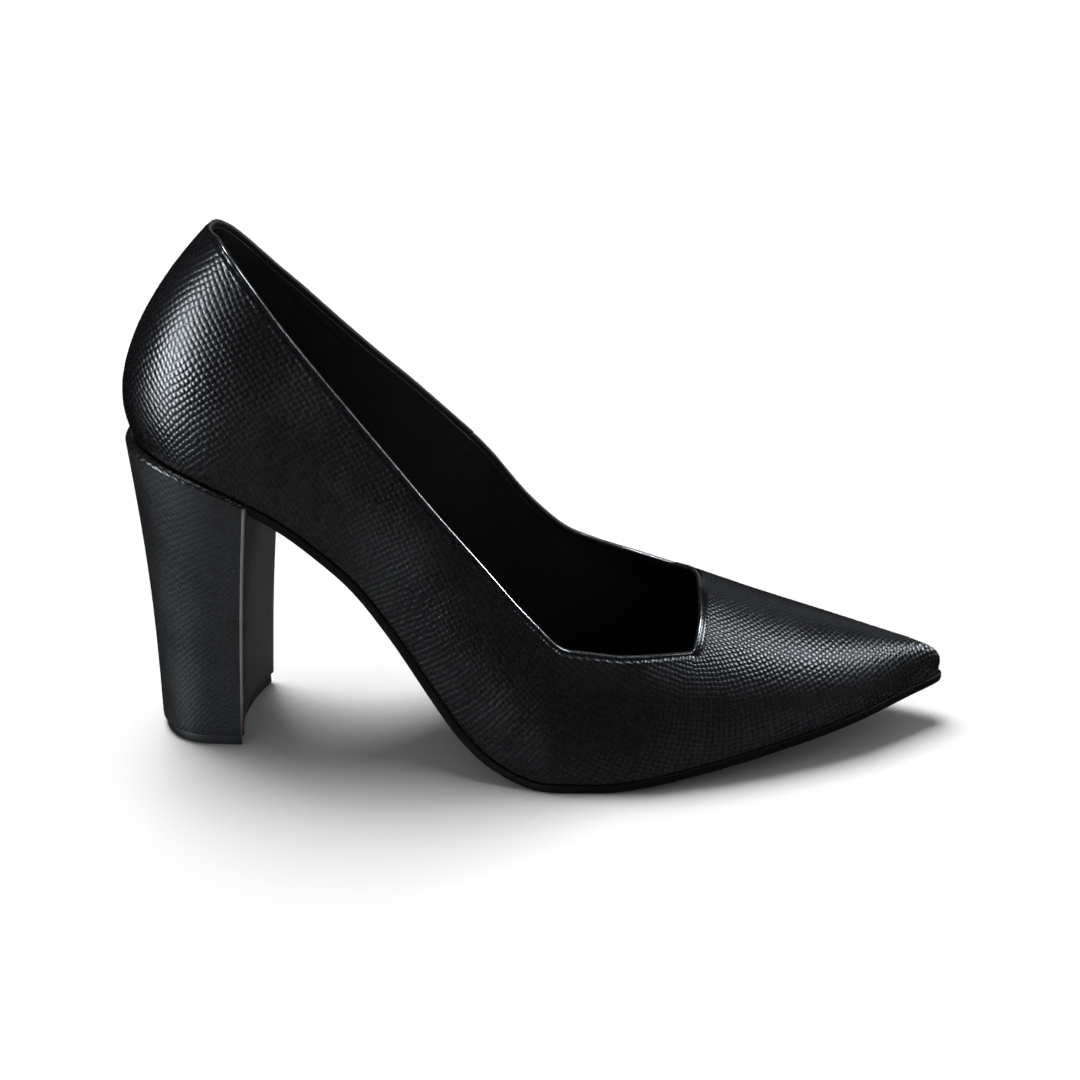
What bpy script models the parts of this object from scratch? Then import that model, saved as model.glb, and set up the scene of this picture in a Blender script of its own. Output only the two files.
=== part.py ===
"""Right-foot court shoe with a pointed toe, an angular collar and a covered block heel.

Metres, +Z up. +X runs to the toe, -Y is the outer side of the foot, the floor is z = 0.
Tables are written in millimetres and scaled by MM where they are read.
"""
import math

import bmesh
import bpy
from mathutils import Vector

MM = 0.001

# Driving sizes, in metres
WALL = 1.8 * MM
GAP = 0.3 * MM
SOLE_THICK = 2.6 * MM
SOLE_PROUD = 0.7 * MM
SOLE_CHAMFER = 0.7 * MM
INSOLE_THICK = 2.0 * MM
INSOLE_INSET = 2.5 * MM
CENTRE_Y = -0.1 * MM

# Last: the whole foot form, sections square to its own curved centre line
TOE_SWING = 11.5 * MM
SWING_FROM = -60.0 * MM
TIP_X = 116.6 * MM
TOE_X = 107.0 * MM
HEEL_X = -84.0 * MM
THROAT_X = 45.0 * MM
CORNER_X = 6.0 * MM

LAST_NAMES = ("x", "outer", "inner", "lean", "ridge", "flare", "rise", "crown_outer", "crown_inner")
LAST = (
    (-84, 25.0, 24.5, 29.0, 175.0, 5.0, 28.0, 12.0, 12.0),
    (-66, 25.1, 22.4, 26.0, 165.0, 4.6, 28.0, 18.0, 18.0),
    (-48, 26.2, 20.8, 20.0, 150.0, 4.3, 27.6, 24.0, 24.5),
    (-34, 29.0, 21.9, 13.0, 131.0, 4.0, 27.0, 27.0, 28.5),
    (-20, 33.0, 25.5, 7.0, 110.0, 3.6, 26.2, 28.0, 30.5),
    (-6, 37.0, 30.2, 2.4, 86.0, 3.2, 25.2, 27.6, 30.5),
    (6, 39.5, 33.6, 0.0, 68.0, 3.0, 24.0, 26.5, 29.5),
    (26, 39.1, 35.3, 0.0, 56.0, 2.8, 21.2, 24.0, 25.5),
    (45, 35.0, 32.1, 0.0, 48.0, 2.5, 18.2, 20.8, 21.5),
    (70, 26.9, 24.6, 0.0, 38.4, 2.2, 14.6, 15.0, 17.0),
    (92, 17.7, 15.0, 0.0, 31.6, 0.7, 9.0, 10.4, 9.6),
    (107, 8.4, 7.4, 0.0, 26.9, -0.6, 5.4, 5.0, 4.2),
)

# Feather line: the last's bottom edge, side view
FEATHER_NAMES = ("x", "z")
FEATHER = (
    (-118, 95.9),
    (-107, 93.9),
    (-98, 91.2),
    (-91, 88.4),
    (-84, 85.2),
    (-77, 81.4),
    (-70, 77.2),
    (-59, 68.4),
    (-48, 57.5),
    (-38, 43.5),
    (-27, 25.6),
    (-21, 16.6),
    (-15, 10.0),
    (-9, 6.0),
    (-3, 3.5),
    (0, 2.9),
    (17.2, 2.9),
    (30, 4.4),
    (53, 7.5),
    (75, 10.7),
    (99, 14.3),
    (111, 15.4),
    (118, 15.5),
)

# Collar edge: its height on each side along the centre line; smooth back of the corner
COLLAR_NAMES = ("x", "outer", "inner")
COLLAR = (
    (-96, 155.6, 155.6),
    (-89, 155.5, 155.2),
    (-87, 155.4, 152.4),
    (-84, 154.6, 148.0),
    (-81, 151.9, 143.9),
    (-75, 144.8, 136.8),
    (-68, 135.2, 129.7),
    (-59, 123.8, 120.6),
    (-49, 111.0, 111.2),
    (-38, 96.9, 101.3),
    (-27, 82.8, 90.2),
    (-16, 69.1, 78.2),
    (-5, 55.1, 63.8),
    (6, 42.7, 53.5),
)
THROAT = (
    (6, 42.7, 53.5),
    (22, 39.5, 48.9),
    (45, 37.6, 43.4),
)

# Counter: the back of the heel end
HEEL_REACH = 30.2 * MM
HEEL_SQUARE = 2.15
BACK_FLARE = 14.6 * MM
BACK_RISE = 25.0 * MM
BACK_CROWN = 22.0 * MM

# Nose: the front of the toe end
NOSE_FLARE = 1.2 * MM
NOSE_RISE = 6.2 * MM
NOSE_CROWN = 8.2 * MM
NOSE_DROP = 0.31

# Block heel and its top piece
TIP_HALF = 19.0 * MM
TIP_BACK_X = -114.9 * MM
TIP_CENTRE_X = -97.0 * MM
TIP_SQUARE = 2.15
BREAST_FOOT_X = -87.0 * MM
BREAST_TOP_X = -79.0 * MM
BREAST_HOLLOW = 3.0 * MM
HEEL_HOLLOW = 1.3 * MM
HEEL_PROUD = 0.6 * MM
HEEL_PROUD_BACK = 3.0 * MM
TOP_PIECE_THICK = 3.2 * MM
TOP_PIECE_INSET = 0.8 * MM

# Mesh density
ROWS_SIDE = 10
ROWS_VAMP = 6
STEPS_TOE = 6
STEPS_VAMP = 11
STEPS_THROAT = 7
STEPS_QUARTER = 15
STEPS_BACK = 20
STEPS_SEAT = 5
STEPS_BREAST = 8
RINGS_HEEL = 9


def smooth(rows, names, key, column):
    """Return a curve through two columns of a table that never overshoots its rows."""
    xs = [row[names.index(key)] * MM for row in rows]
    ys = [row[names.index(column)] * MM for row in rows]
    runs = [b - a for a, b in zip(xs, xs[1:])]
    grades = [(b - a) / run for a, b, run in zip(ys, ys[1:], runs)]
    slopes = [grades[0]]
    for k in range(1, len(runs)):
        left, right = grades[k - 1], grades[k]
        lean = (left * runs[k] + right * runs[k - 1]) / (runs[k - 1] + runs[k])
        limit = 3 * min(abs(left), abs(right)) if left * right > 0 else 0.0
        slopes.append(max(-limit, min(limit, lean)))
    slopes.append(grades[-1])

    def curve(x):
        x = min(max(x, xs[0]), xs[-1])
        i = max(k for k in range(len(runs)) if xs[k] <= x)
        run = runs[i]
        u = (x - xs[i]) / run
        keep = (1 + 2 * u) * (1 - u) ** 2 * ys[i] + u * u * (3 - 2 * u) * ys[i + 1]
        turn = u * (1 - u) ** 2 * slopes[i] - u * u * (1 - u) * slopes[i + 1]
        return keep + turn * run

    return curve


def straight(rows, names, key, column):
    """Return the polyline through two columns of a table."""
    xs = [row[names.index(key)] * MM for row in rows]
    ys = [row[names.index(column)] * MM for row in rows]

    def line(x):
        x = min(max(x, xs[0]), xs[-1])
        i = max(k for k in range(len(xs) - 1) if xs[k] <= x)
        u = (x - xs[i]) / (xs[i + 1] - xs[i])
        return ys[i] + u * (ys[i + 1] - ys[i])

    return line


last = {name: smooth(LAST, LAST_NAMES, "x", name) for name in LAST_NAMES[1:]}
feather = smooth(FEATHER, FEATHER_NAMES, "x", "z")
quarter_top = {-1: smooth(COLLAR, COLLAR_NAMES, "x", "outer"),
               1: smooth(COLLAR, COLLAR_NAMES, "x", "inner")}
throat_top = {-1: straight(THROAT, COLLAR_NAMES, "x", "outer"),
              1: straight(THROAT, COLLAR_NAMES, "x", "inner")}


def collar_height(x, side):
    return quarter_top[side](x) if x < CORNER_X else throat_top[side](x)


def mix(a, b, share):
    return a + (b - a) * share


def steps(a, b, count):
    return [mix(a, b, k / count) for k in range(count + 1)]


def swing(x):
    """Sideways place of the centre line, and its slope."""
    run = TIP_X - SWING_FROM
    share = max(0.0, (x - SWING_FROM) / run)
    return CENTRE_Y + TOE_SWING * share ** 2, 2 * TOE_SWING * share / run


def place(x, along, across, z):
    """A point of the section at x, given in that section's own directions."""
    y, slope = swing(x)
    return Vector((x + along - slope * across, y + across + slope * along, z))


def station_of(spot):
    """How far along the centre line a point lies."""
    y, slope = swing(spot.x)
    return spot.x + slope * (spot.y - y)


def half_width(x, side):
    return last["outer" if side < 0 else "inner"](x)


def crown_width(x, side):
    return last["crown_outer" if side < 0 else "crown_inner"](x)


def section_column(x, side):
    """Four curve points that run up one side of the last from feather to ridge."""
    low = feather(x)
    half = half_width(x, side)
    lean = last["lean"](x)
    ridge = last["ridge"](x)
    rise = last["rise"](x)
    return (place(x, 0.0, side * half, low),
            place(x, lean * rise / (ridge - low), side * (half + last["flare"](x)), low + rise),
            place(x, lean, side * crown_width(x, side), ridge),
            place(x, lean, 0.0, ridge))


def rounded(angle, square):
    """A quarter of a superellipse: how far forward and how far sideways at an angle."""
    power = 2.0 / square
    side = math.copysign(abs(math.sin(angle)) ** power, math.sin(angle))
    return abs(math.cos(angle)) ** power, side


def heel_column(angle):
    """The same four points around the back, from -90 (outer) through 0 (back) to 90."""
    back, across = rounded(angle, HEEL_SQUARE)
    half = half_width(HEEL_X, -1 if angle < 0 else 1)
    share = math.cos(angle) ** 2
    lean = last["lean"](HEEL_X)
    ridge = last["ridge"](HEEL_X)
    flare = mix(last["flare"](HEEL_X), BACK_FLARE, share)
    rise = mix(last["rise"](HEEL_X), BACK_RISE, share)
    crown = mix(crown_width(HEEL_X, -1 if angle < 0 else 1), BACK_CROWN, share)
    foot = place(HEEL_X, -HEEL_REACH * back, half * across, 0.0)
    foot.z = feather(foot.x)
    out = Vector((-math.cos(angle), math.sin(angle), 0.0))
    ahead = lean * rise / (ridge - feather(HEEL_X)) * (1 - math.cos(angle))
    top = place(HEEL_X, lean, 0.0, ridge)
    return foot, foot + out * flare + Vector((ahead, 0.0, rise)), top + out * crown, top


def nose_size(curve, share, reach, tip):
    """A size of the last carried round the nose: it leaves the side at its own grade, and ends at the tip's."""
    size = curve(TOE_X)
    middle = size + (size - curve(TOE_X - MM)) / MM * reach
    return mix(mix(tip, middle, share), mix(middle, size, share), share)


def toe_column(angle):
    """The same four points around the nose, from -90 (outer) through 0 (tip) to 90."""
    side = -1 if angle < 0 else 1
    share = abs(angle) / (math.pi / 2)
    ahead = 1 - share * share
    reach = TIP_X - TOE_X
    edge = side * nose_size(lambda x: half_width(x, side), share, reach, 0.0)
    crown = side * nose_size(lambda x: crown_width(x, side), share, NOSE_CROWN, 0.0)
    rise = nose_size(last["rise"], share, reach, NOSE_RISE)
    flare = nose_size(last["flare"], share, reach, NOSE_FLARE)
    ridge = last["ridge"](TOE_X)
    low = feather(TOE_X + reach * ahead)
    foot = place(TOE_X, reach * ahead, edge, low)
    knee = place(TOE_X, reach * ahead + flare * math.cos(angle), edge + flare * math.sin(angle), low + rise)
    brow = place(TOE_X, NOSE_CROWN * ahead, crown, ridge - NOSE_DROP * NOSE_CROWN * ahead)
    return foot, knee, brow, place(TOE_X, 0.0, 0.0, ridge)


def on_curve(points, t):
    a, b, c, d = points
    s = 1 - t
    return a * s ** 3 + b * (3 * s * s * t) + c * (3 * s * t * t) + d * t ** 3


def collar_share(points, side):
    """Where the collar edge crosses one column, by halving."""
    low, high = 0.05, 0.98
    for _ in range(40):
        middle = (low + high) / 2
        spot = on_curve(points, middle)
        if spot.z < collar_height(station_of(spot), side):
            low = middle
        else:
            high = middle
    return (low + high) / 2


def side_stations():
    """Section stations from the toe end to the heel end, with the collar's corners in them."""
    ahead = steps(TOE_X, THROAT_X, STEPS_VAMP)
    throat = steps(THROAT_X, CORNER_X, STEPS_THROAT)[1:]
    quarter = steps(CORNER_X, HEEL_X, STEPS_QUARTER)[1:]
    return ahead + throat + quarter


def columns_around():
    """Every column of the upper in order: tip, outer side, back, inner side, tip.

    Each comes with its side, whether the vamp covers it, and how near it is to the tip.
    """
    quarter_turn = steps(0.0, math.pi / 2, STEPS_TOE)[:-1]
    turns = steps(-math.pi / 2, math.pi / 2, STEPS_BACK)[1:-1]
    stations = side_stations()
    closed = STEPS_TOE + STEPS_VAMP
    outer = [toe_column(-a) for a in quarter_turn] + [section_column(x, -1) for x in stations]
    inner = [toe_column(a) for a in quarter_turn] + [section_column(x, 1) for x in stations]
    back = [heel_column(a) for a in turns]
    near_tip = [math.cos(a) for a in quarter_turn] + [0.0] * len(stations)
    loop = [(points, -1, k <= closed, near_tip[k]) for k, points in enumerate(outer)]
    for k, points in enumerate(back):
        loop.append((points, -1 if k < len(back) / 2 else 1, False, 0.0))
    loop += [(points, 1, k <= closed, near_tip[k]) for k, points in reversed(list(enumerate(inner)))]
    return loop


def paint(name, colour, roughness):
    """A plain Principled material."""
    material = bpy.data.materials.new(name)
    material.use_nodes = True
    shader = material.node_tree.nodes["Principled BSDF"]
    shader.inputs["Base Color"].default_value = (*colour, 1.0)
    shader.inputs["Roughness"].default_value = roughness
    material.diffuse_color = (*colour, 1.0)
    return material


def keep(name, mesh_work, material, root):
    """Turn a bmesh into a named object under the root."""
    mesh = bpy.data.meshes.new(name)
    mesh_work.to_mesh(mesh)
    mesh_work.free()
    mesh.shade_smooth()
    mesh.set_sharp_from_angle(angle=math.radians(35))
    mesh.materials.append(material)
    made = bpy.data.objects.new(name, mesh)
    bpy.context.collection.objects.link(made)
    made.parent = root
    return made


def make_upper(root, material):
    """The last's skin below the collar, thickened inwards."""
    work = bmesh.new()
    loop = columns_around()
    corner = {}
    for side in (-1, 1):
        corner[side] = collar_share(section_column(THROAT_X, side), side)
    lines = []
    for points, side, closed, near_tip in loop:
        share = collar_share(points, side)
        if closed:
            share = mix(corner[side], (corner[-1] + corner[1]) / 2, near_tip)
        heights = steps(0.0, share, ROWS_SIDE)
        if closed:
            heights += steps(share, 1.0, ROWS_VAMP)[1:]
        lines.append([work.verts.new(on_curve(points, t)) for t in heights])
    for one, two in zip(lines, lines[1:]):
        for row in range(min(len(one), len(two)) - 1):
            work.faces.new((one[row], one[row + 1], two[row + 1], two[row]))
    bmesh.ops.remove_doubles(work, verts=work.verts[:], dist=0.02 * MM)
    made = keep("upper", work, material, root)
    wall = made.modifiers.new("wall", "SOLIDIFY")
    wall.thickness = WALL
    wall.offset = -1.0
    wall.use_even_offset = True
    wall.use_quality_normals = True
    return made


def breast_x(y, half, corner_x):
    """The heel's hollow front in plan."""
    return corner_x - BREAST_HOLLOW * (1 - min(1.0, abs(y) / half) ** 2)


def outline_pairs(grow, rear, drop):
    """Matching outer and inner points of the feather line, from the rear end to the tip.

    grow moves the line sideways, rear is "breast" or "back", drop lowers the line square
    to its own slope.
    """
    pairs = []
    if rear == "back":
        for angle in steps(0.0, math.pi / 2, STEPS_BACK // 2)[1:-1]:
            pairs.append(tuple(heel_edge(side * angle, grow, drop) for side in (-1, 1)))
        stations = list(reversed(side_stations()))
    else:
        start = BREAST_TOP_X + GAP
        for share in steps(0.0, 1.0, STEPS_BREAST // 2)[1:-1]:
            pairs.append(tuple(rear_edge(start, share, side, grow, drop) for side in (-1, 1)))
        pairs.append(tuple(side_edge(start, side, grow, drop, upright=True) for side in (-1, 1)))
        stations = [x for x in reversed(side_stations()) if x > start + 3 * MM]
    for x in stations:
        pairs.append(tuple(side_edge(x, side, grow, drop) for side in (-1, 1)))
    for angle in reversed(steps(0.0, math.pi / 2, STEPS_TOE)[1:-1]):
        pairs.append(tuple(toe_edge(side * angle, grow, drop) for side in (-1, 1)))
    return pairs


def lowered(spot, drop, upright=False):
    """Move a point of the bottom line down, square to the line's slope or straight down."""
    pace = 0.5 * MM
    slope = (feather(spot.x + pace) - feather(spot.x - pace)) / (2 * pace)
    size = math.hypot(slope, 1.0)
    if upright:
        return spot - Vector((0.0, 0.0, drop * size))
    return spot + Vector((drop * slope / size, 0.0, -drop / size))


def side_edge(x, side, grow, drop, upright=False):
    across = side * (half_width(x, side) + grow)
    return lowered(place(x, 0.0, across, feather(x)), drop, upright)


def heel_edge(angle, grow, drop):
    foot = heel_column(angle)[0]
    return lowered(foot + Vector((-math.cos(angle), math.sin(angle), 0.0)) * grow, drop)


def toe_edge(angle, grow, drop):
    foot = toe_column(angle)[0]
    slope = swing(TOE_X)[1]
    ahead = math.cos(angle)
    beside = math.sin(angle)
    return lowered(foot + Vector((ahead - slope * beside, beside + slope * ahead, 0.0)) * grow, drop)


def rear_edge(start, share, side, grow, drop):
    half = half_width(start, side) + grow
    across = side * half * share
    x = breast_x(across, half, start)
    return lowered(place(x, 0.0, across, feather(x)), drop, upright=True)


def ladder_solid(name, bands, material, root):
    """A slab from pairs of edge points; each band holds one level's pairs, top level first."""
    work = bmesh.new()
    rings = []
    for rung in range(len(bands[0])):
        outer = [band[rung][0] for band in bands]
        inner = [band[rung][1] for band in bands]
        rings.append([work.verts.new(spot) for spot in outer + inner[::-1]])
    count = len(rings[0])
    for one, two in zip(rings, rings[1:]):
        for k in range(count):
            after = (k + 1) % count
            work.faces.new((one[k], two[k], two[after], one[after]))
    work.faces.new(rings[0])
    work.faces.new(rings[-1][::-1])
    bmesh.ops.recalc_face_normals(work, faces=work.faces[:])
    return keep(name, work, material, root)


def make_outsole(root, material):
    edge = SOLE_PROUD - SOLE_CHAMFER
    bands = [outline_pairs(SOLE_PROUD, "breast", GAP),
             outline_pairs(SOLE_PROUD, "breast", GAP + SOLE_THICK - SOLE_CHAMFER),
             outline_pairs(edge, "breast", GAP + SOLE_THICK)]
    return ladder_solid("outsole", bands, material, root)


def make_insole(root, material):
    bands = [outline_pairs(-INSOLE_INSET, "back", -INSOLE_THICK),
             outline_pairs(-INSOLE_INSET, "back", 0.0)]
    return ladder_solid("insole", bands, material, root)


def foot_ring(inset, z):
    """The heel's outline at the floor: outer front corner, back, inner front corner, breast."""
    half = TIP_HALF - inset
    corner = BREAST_FOOT_X - inset
    reach = TIP_CENTRE_X - TIP_BACK_X - inset
    ring = [Vector((x, -half, z)) for x in steps(corner, TIP_CENTRE_X, STEPS_SEAT)[:-1]]
    for angle in steps(-math.pi / 2, math.pi / 2, STEPS_BACK):
        back, across = rounded(angle, TIP_SQUARE)
        ring.append(Vector((TIP_CENTRE_X - reach * back, half * across, z)))
    ring += [Vector((x, half, z)) for x in steps(TIP_CENTRE_X, corner, STEPS_SEAT)[1:]]
    for y in steps(half, -half, STEPS_BREAST)[1:-1]:
        ring.append(Vector((breast_x(y, half, corner), y, z)))
    for spot in ring:
        spot.y += CENTRE_Y
    return ring


def seat_ring():
    """The heel's outline under the seat, point for point with the floor outline."""
    stations = steps(BREAST_TOP_X, HEEL_X, STEPS_SEAT)
    ring = [side_edge(x, -1, HEEL_PROUD, GAP) for x in stations[:-1]]
    for angle in steps(-math.pi / 2, math.pi / 2, STEPS_BACK):
        grow = mix(HEEL_PROUD, HEEL_PROUD_BACK, math.cos(angle))
        ring.append(heel_edge(angle, grow, GAP))
    ring += [side_edge(x, 1, HEEL_PROUD, GAP) for x in reversed(stations[:-1])]
    for share in steps(1.0, -1.0, STEPS_BREAST)[1:-1]:
        side = 1 if share > 0 else -1
        ring.append(rear_edge(BREAST_TOP_X, abs(share), side, HEEL_PROUD, GAP))
    return ring


def close_pairs(work, ring, first, last_point, flip):
    """Cap a ring with strips between matching outer and inner points."""
    a, b = first, last_point
    while b - a > 2:
        face = (ring[a], ring[a + 1], ring[b - 1], ring[b])
        work.faces.new(face[::-1] if flip else face)
        a += 1
        b -= 1
    if b - a == 2:
        face = (ring[a], ring[a + 1], ring[b])
        work.faces.new(face[::-1] if flip else face)


def make_heel(root, material):
    low = foot_ring(0.0, TOP_PIECE_THICK + GAP)
    high = seat_ring()
    middle = sum(low, Vector()) / len(low)
    work = bmesh.new()
    rings = []
    for share in steps(0.0, 1.0, RINGS_HEEL - 1):
        ring = []
        for foot, seat in zip(low, high):
            spot = foot.lerp(seat, share)
            inward = Vector((middle.x - spot.x, middle.y - spot.y, 0.0)).normalized()
            hollow = HEEL_HOLLOW * math.sin(math.pi * share)
            ring.append(work.verts.new(spot + inward * hollow))
        rings.append(ring)
    count = len(low)
    for one, two in zip(rings, rings[1:]):
        for k in range(count):
            after = (k + 1) % count
            work.faces.new((one[k], one[after], two[after], two[k]))
    edge = 2 * STEPS_SEAT + STEPS_BACK
    close_pairs(work, rings[-1], 0, edge, False)
    half = STEPS_BREAST // 2
    seat = rings[-1]
    front = [seat[(edge + k) % count] for k in range(STEPS_BREAST + 1)]
    close_pairs(work, front, 0, 2 * half, False)
    work.faces.new(rings[0])
    bmesh.ops.recalc_face_normals(work, faces=work.faces[:])
    return keep("heel", work, material, root)


def make_top_piece(root, material):
    work = bmesh.new()
    low = [work.verts.new(spot) for spot in foot_ring(TOP_PIECE_INSET, 0.0)]
    high = [work.verts.new(spot) for spot in foot_ring(TOP_PIECE_INSET, TOP_PIECE_THICK)]
    count = len(low)
    for k in range(count):
        after = (k + 1) % count
        work.faces.new((low[k], low[after], high[after], high[k]))
    work.faces.new(low[::-1])
    work.faces.new(high)
    bmesh.ops.recalc_face_normals(work, faces=work.faces[:])
    return keep("top_piece", work, material, root)


def main():
    for old in list(bpy.data.objects):
        bpy.data.objects.remove(old)
    root = bpy.data.objects.new("high_heel", None)
    bpy.context.collection.objects.link(root)
    leather = paint("leather", (0.018, 0.018, 0.02), 0.42)
    lining = paint("insole_leather", (0.03, 0.03, 0.032), 0.6)
    sole = paint("sole_leather", (0.03, 0.026, 0.024), 0.5)
    cover = paint("heel_leather", (0.02, 0.02, 0.022), 0.42)
    rubber = paint("rubber", (0.05, 0.055, 0.065), 0.7)
    make_upper(root, leather)
    make_insole(root, lining)
    make_outsole(root, sole)
    make_heel(root, cover)
    make_top_piece(root, rubber)


main()
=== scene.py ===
"""Looks of a right-foot court shoe with a pointed toe and a covered block heel.

Laid out as an add-on and run as a script. Metres, +Z up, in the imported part's frame:
+X runs to the toe, -Y is the outer side of the foot, and the floor is z = 0.
Shape tables are written in millimetres and scaled by MM where they are read.
"""
import math
from typing import NamedTuple

import bmesh
import bpy
from bpy.props import FloatProperty, FloatVectorProperty, PointerProperty
from bpy.types import Operator, Panel, PropertyGroup
from mathutils import Matrix, Quaternion, Vector, noise


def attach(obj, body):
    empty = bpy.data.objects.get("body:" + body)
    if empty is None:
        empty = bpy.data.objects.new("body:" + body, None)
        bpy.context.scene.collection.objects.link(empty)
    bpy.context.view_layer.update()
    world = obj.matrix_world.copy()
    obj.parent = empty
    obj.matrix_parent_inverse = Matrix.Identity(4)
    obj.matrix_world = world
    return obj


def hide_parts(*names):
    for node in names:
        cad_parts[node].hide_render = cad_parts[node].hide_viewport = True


bl_info = {
    "name": "Court shoe looks",
    "version": (1, 0, 0),
    "blender": (4, 5, 0),
    "location": "3D View > Sidebar > Shoe",
    "description": "Embossed leather, lining, sole, covered heel and studio for a court shoe",
    "category": "Object",
}

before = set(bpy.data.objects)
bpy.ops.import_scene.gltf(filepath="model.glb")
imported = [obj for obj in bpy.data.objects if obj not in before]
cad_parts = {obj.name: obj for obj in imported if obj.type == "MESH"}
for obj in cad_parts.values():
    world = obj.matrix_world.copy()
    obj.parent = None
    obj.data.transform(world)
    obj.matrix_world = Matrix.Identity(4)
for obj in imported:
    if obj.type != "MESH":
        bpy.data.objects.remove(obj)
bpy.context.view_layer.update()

MM = 0.001
BODY = "root"
GRAIN_LAYER = "Grain"
PLAIN_LAYER = "plain"

# Solids of the part that the pieces below keep to, in metres
WALL = 1.8 * MM
GAP = 0.3 * MM
SOLE_THICK = 2.6 * MM
INSOLE_THICK = 2.0 * MM
INSOLE_INSET = 2.5 * MM
CENTRE_Y = -0.1 * MM
TOP_PIECE_THICK = 3.2 * MM
TOP_PIECE_INSET = 0.8 * MM

# Last: the whole foot form, sections square to its own curved centre line
TOE_SWING = 11.5 * MM
SWING_FROM = -60.0 * MM
TIP_X = 116.6 * MM
TOE_X = 107.0 * MM
HEEL_X = -84.0 * MM
THROAT_X = 45.0 * MM
CORNER_X = 6.0 * MM

LAST_NAMES = ("x", "outer", "inner", "lean", "ridge", "flare", "rise", "crown_outer", "crown_inner")
LAST = (
    (-84, 25.0, 24.5, 29.0, 175.0, 5.0, 28.0, 12.0, 12.0),
    (-66, 25.1, 22.4, 26.0, 165.0, 4.6, 28.0, 18.0, 18.0),
    (-48, 26.2, 20.8, 20.0, 150.0, 4.3, 27.6, 24.0, 24.5),
    (-34, 29.0, 21.9, 13.0, 131.0, 4.0, 27.0, 27.0, 28.5),
    (-20, 33.0, 25.5, 7.0, 110.0, 3.6, 26.2, 28.0, 30.5),
    (-6, 37.0, 30.2, 2.4, 86.0, 3.2, 25.2, 27.6, 30.5),
    (6, 39.5, 33.6, 0.0, 68.0, 3.0, 24.0, 26.5, 29.5),
    (26, 39.1, 35.3, 0.0, 56.0, 2.8, 21.2, 24.0, 25.5),
    (45, 35.0, 32.1, 0.0, 48.0, 2.5, 18.2, 20.8, 21.5),
    (70, 26.9, 24.6, 0.0, 38.4, 2.2, 14.6, 15.0, 17.0),
    (92, 17.7, 15.0, 0.0, 31.6, 0.7, 9.0, 10.4, 9.6),
    (107, 8.4, 7.4, 0.0, 26.9, -0.6, 5.4, 5.0, 4.2),
)

# Feather line: the last's bottom edge, side view
FEATHER_NAMES = ("x", "z")
FEATHER = (
    (-118, 95.9), (-107, 93.9), (-98, 91.2), (-91, 88.4), (-84, 85.2), (-77, 81.4), (-70, 77.2),
    (-59, 68.4), (-48, 57.5), (-38, 43.5), (-27, 25.6), (-21, 16.6), (-15, 10.0), (-9, 6.0), (-3, 3.5),
    (0, 2.9), (17.2, 2.9), (30, 4.4), (53, 7.5), (75, 10.7), (99, 14.3), (111, 15.4), (118, 15.5),
)

# Sides of the foot
SIDES = {-1: "outer", 1: "inner"}

# Collar edge: its height on each side along the centre line; smooth back of the corner
COLLAR_NAMES = ("x", "outer", "inner")
COLLAR = (
    (-96, 155.6, 155.6),
    (-89, 155.5, 155.2),
    (-87, 155.4, 152.4),
    (-84, 154.6, 148.0),
    (-81, 151.9, 143.9),
    (-75, 144.8, 136.8),
    (-68, 135.2, 129.7),
    (-59, 123.8, 120.6),
    (-49, 111.0, 111.2),
    (-38, 96.9, 101.3),
    (-27, 82.8, 90.2),
    (-16, 69.1, 78.2),
    (-5, 55.1, 63.8),
    (6, 42.7, 53.5),
)
THROAT = (
    (6, 42.7, 53.5),
    (22, 39.5, 48.9),
    (45, 37.6, 43.4),
)

# Counter: the back of the heel end
HEEL_REACH = 30.2 * MM
HEEL_SQUARE = 2.15
BACK_FLARE = 14.6 * MM
BACK_RISE = 25.0 * MM
BACK_CROWN = 22.0 * MM

# Nose: the front of the toe end
NOSE_FLARE = 1.2 * MM
NOSE_RISE = 6.2 * MM
NOSE_CROWN = 8.2 * MM
NOSE_DROP = 0.31

# Block heel
TIP_HALF = 19.0 * MM
TIP_BACK_X = -114.9 * MM
TIP_CENTRE_X = -97.0 * MM
TIP_SQUARE = 2.15
BREAST_FOOT_X = -87.0 * MM
BREAST_TOP_X = -79.0 * MM
BREAST_HOLLOW = 3.0 * MM
HEEL_HOLLOW = 1.3 * MM
HEEL_PROUD = 0.6 * MM
HEEL_PROUD_BACK = 3.0 * MM

# Puckers above the sole at the toe: where, and how high
PUCKERS = ((116.0, -0.25), (112.0, 0.5), (107.5, -0.35), (103.0, 0.4), (98.5, -0.25), (94.0, 0.2),
           (89.0, -0.1))
PUCKER_LOW = 1.4 * MM
PUCKER_TALL = 3.4 * MM
PUCKER_WIDE = 2.6 * MM

# How far the forms of the upper fade out
SEAM_SPREAD = 46.0 * MM
SEAM_FADE = 12.0 * MM
SEAM_NEAR = 0.16 * MM
PULL_BACK = 16.0 * MM
PULL_UP = 17.0 * MM
BACK_BLEND = math.radians(60)
LINING_EASE = 20.0 * MM

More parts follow.
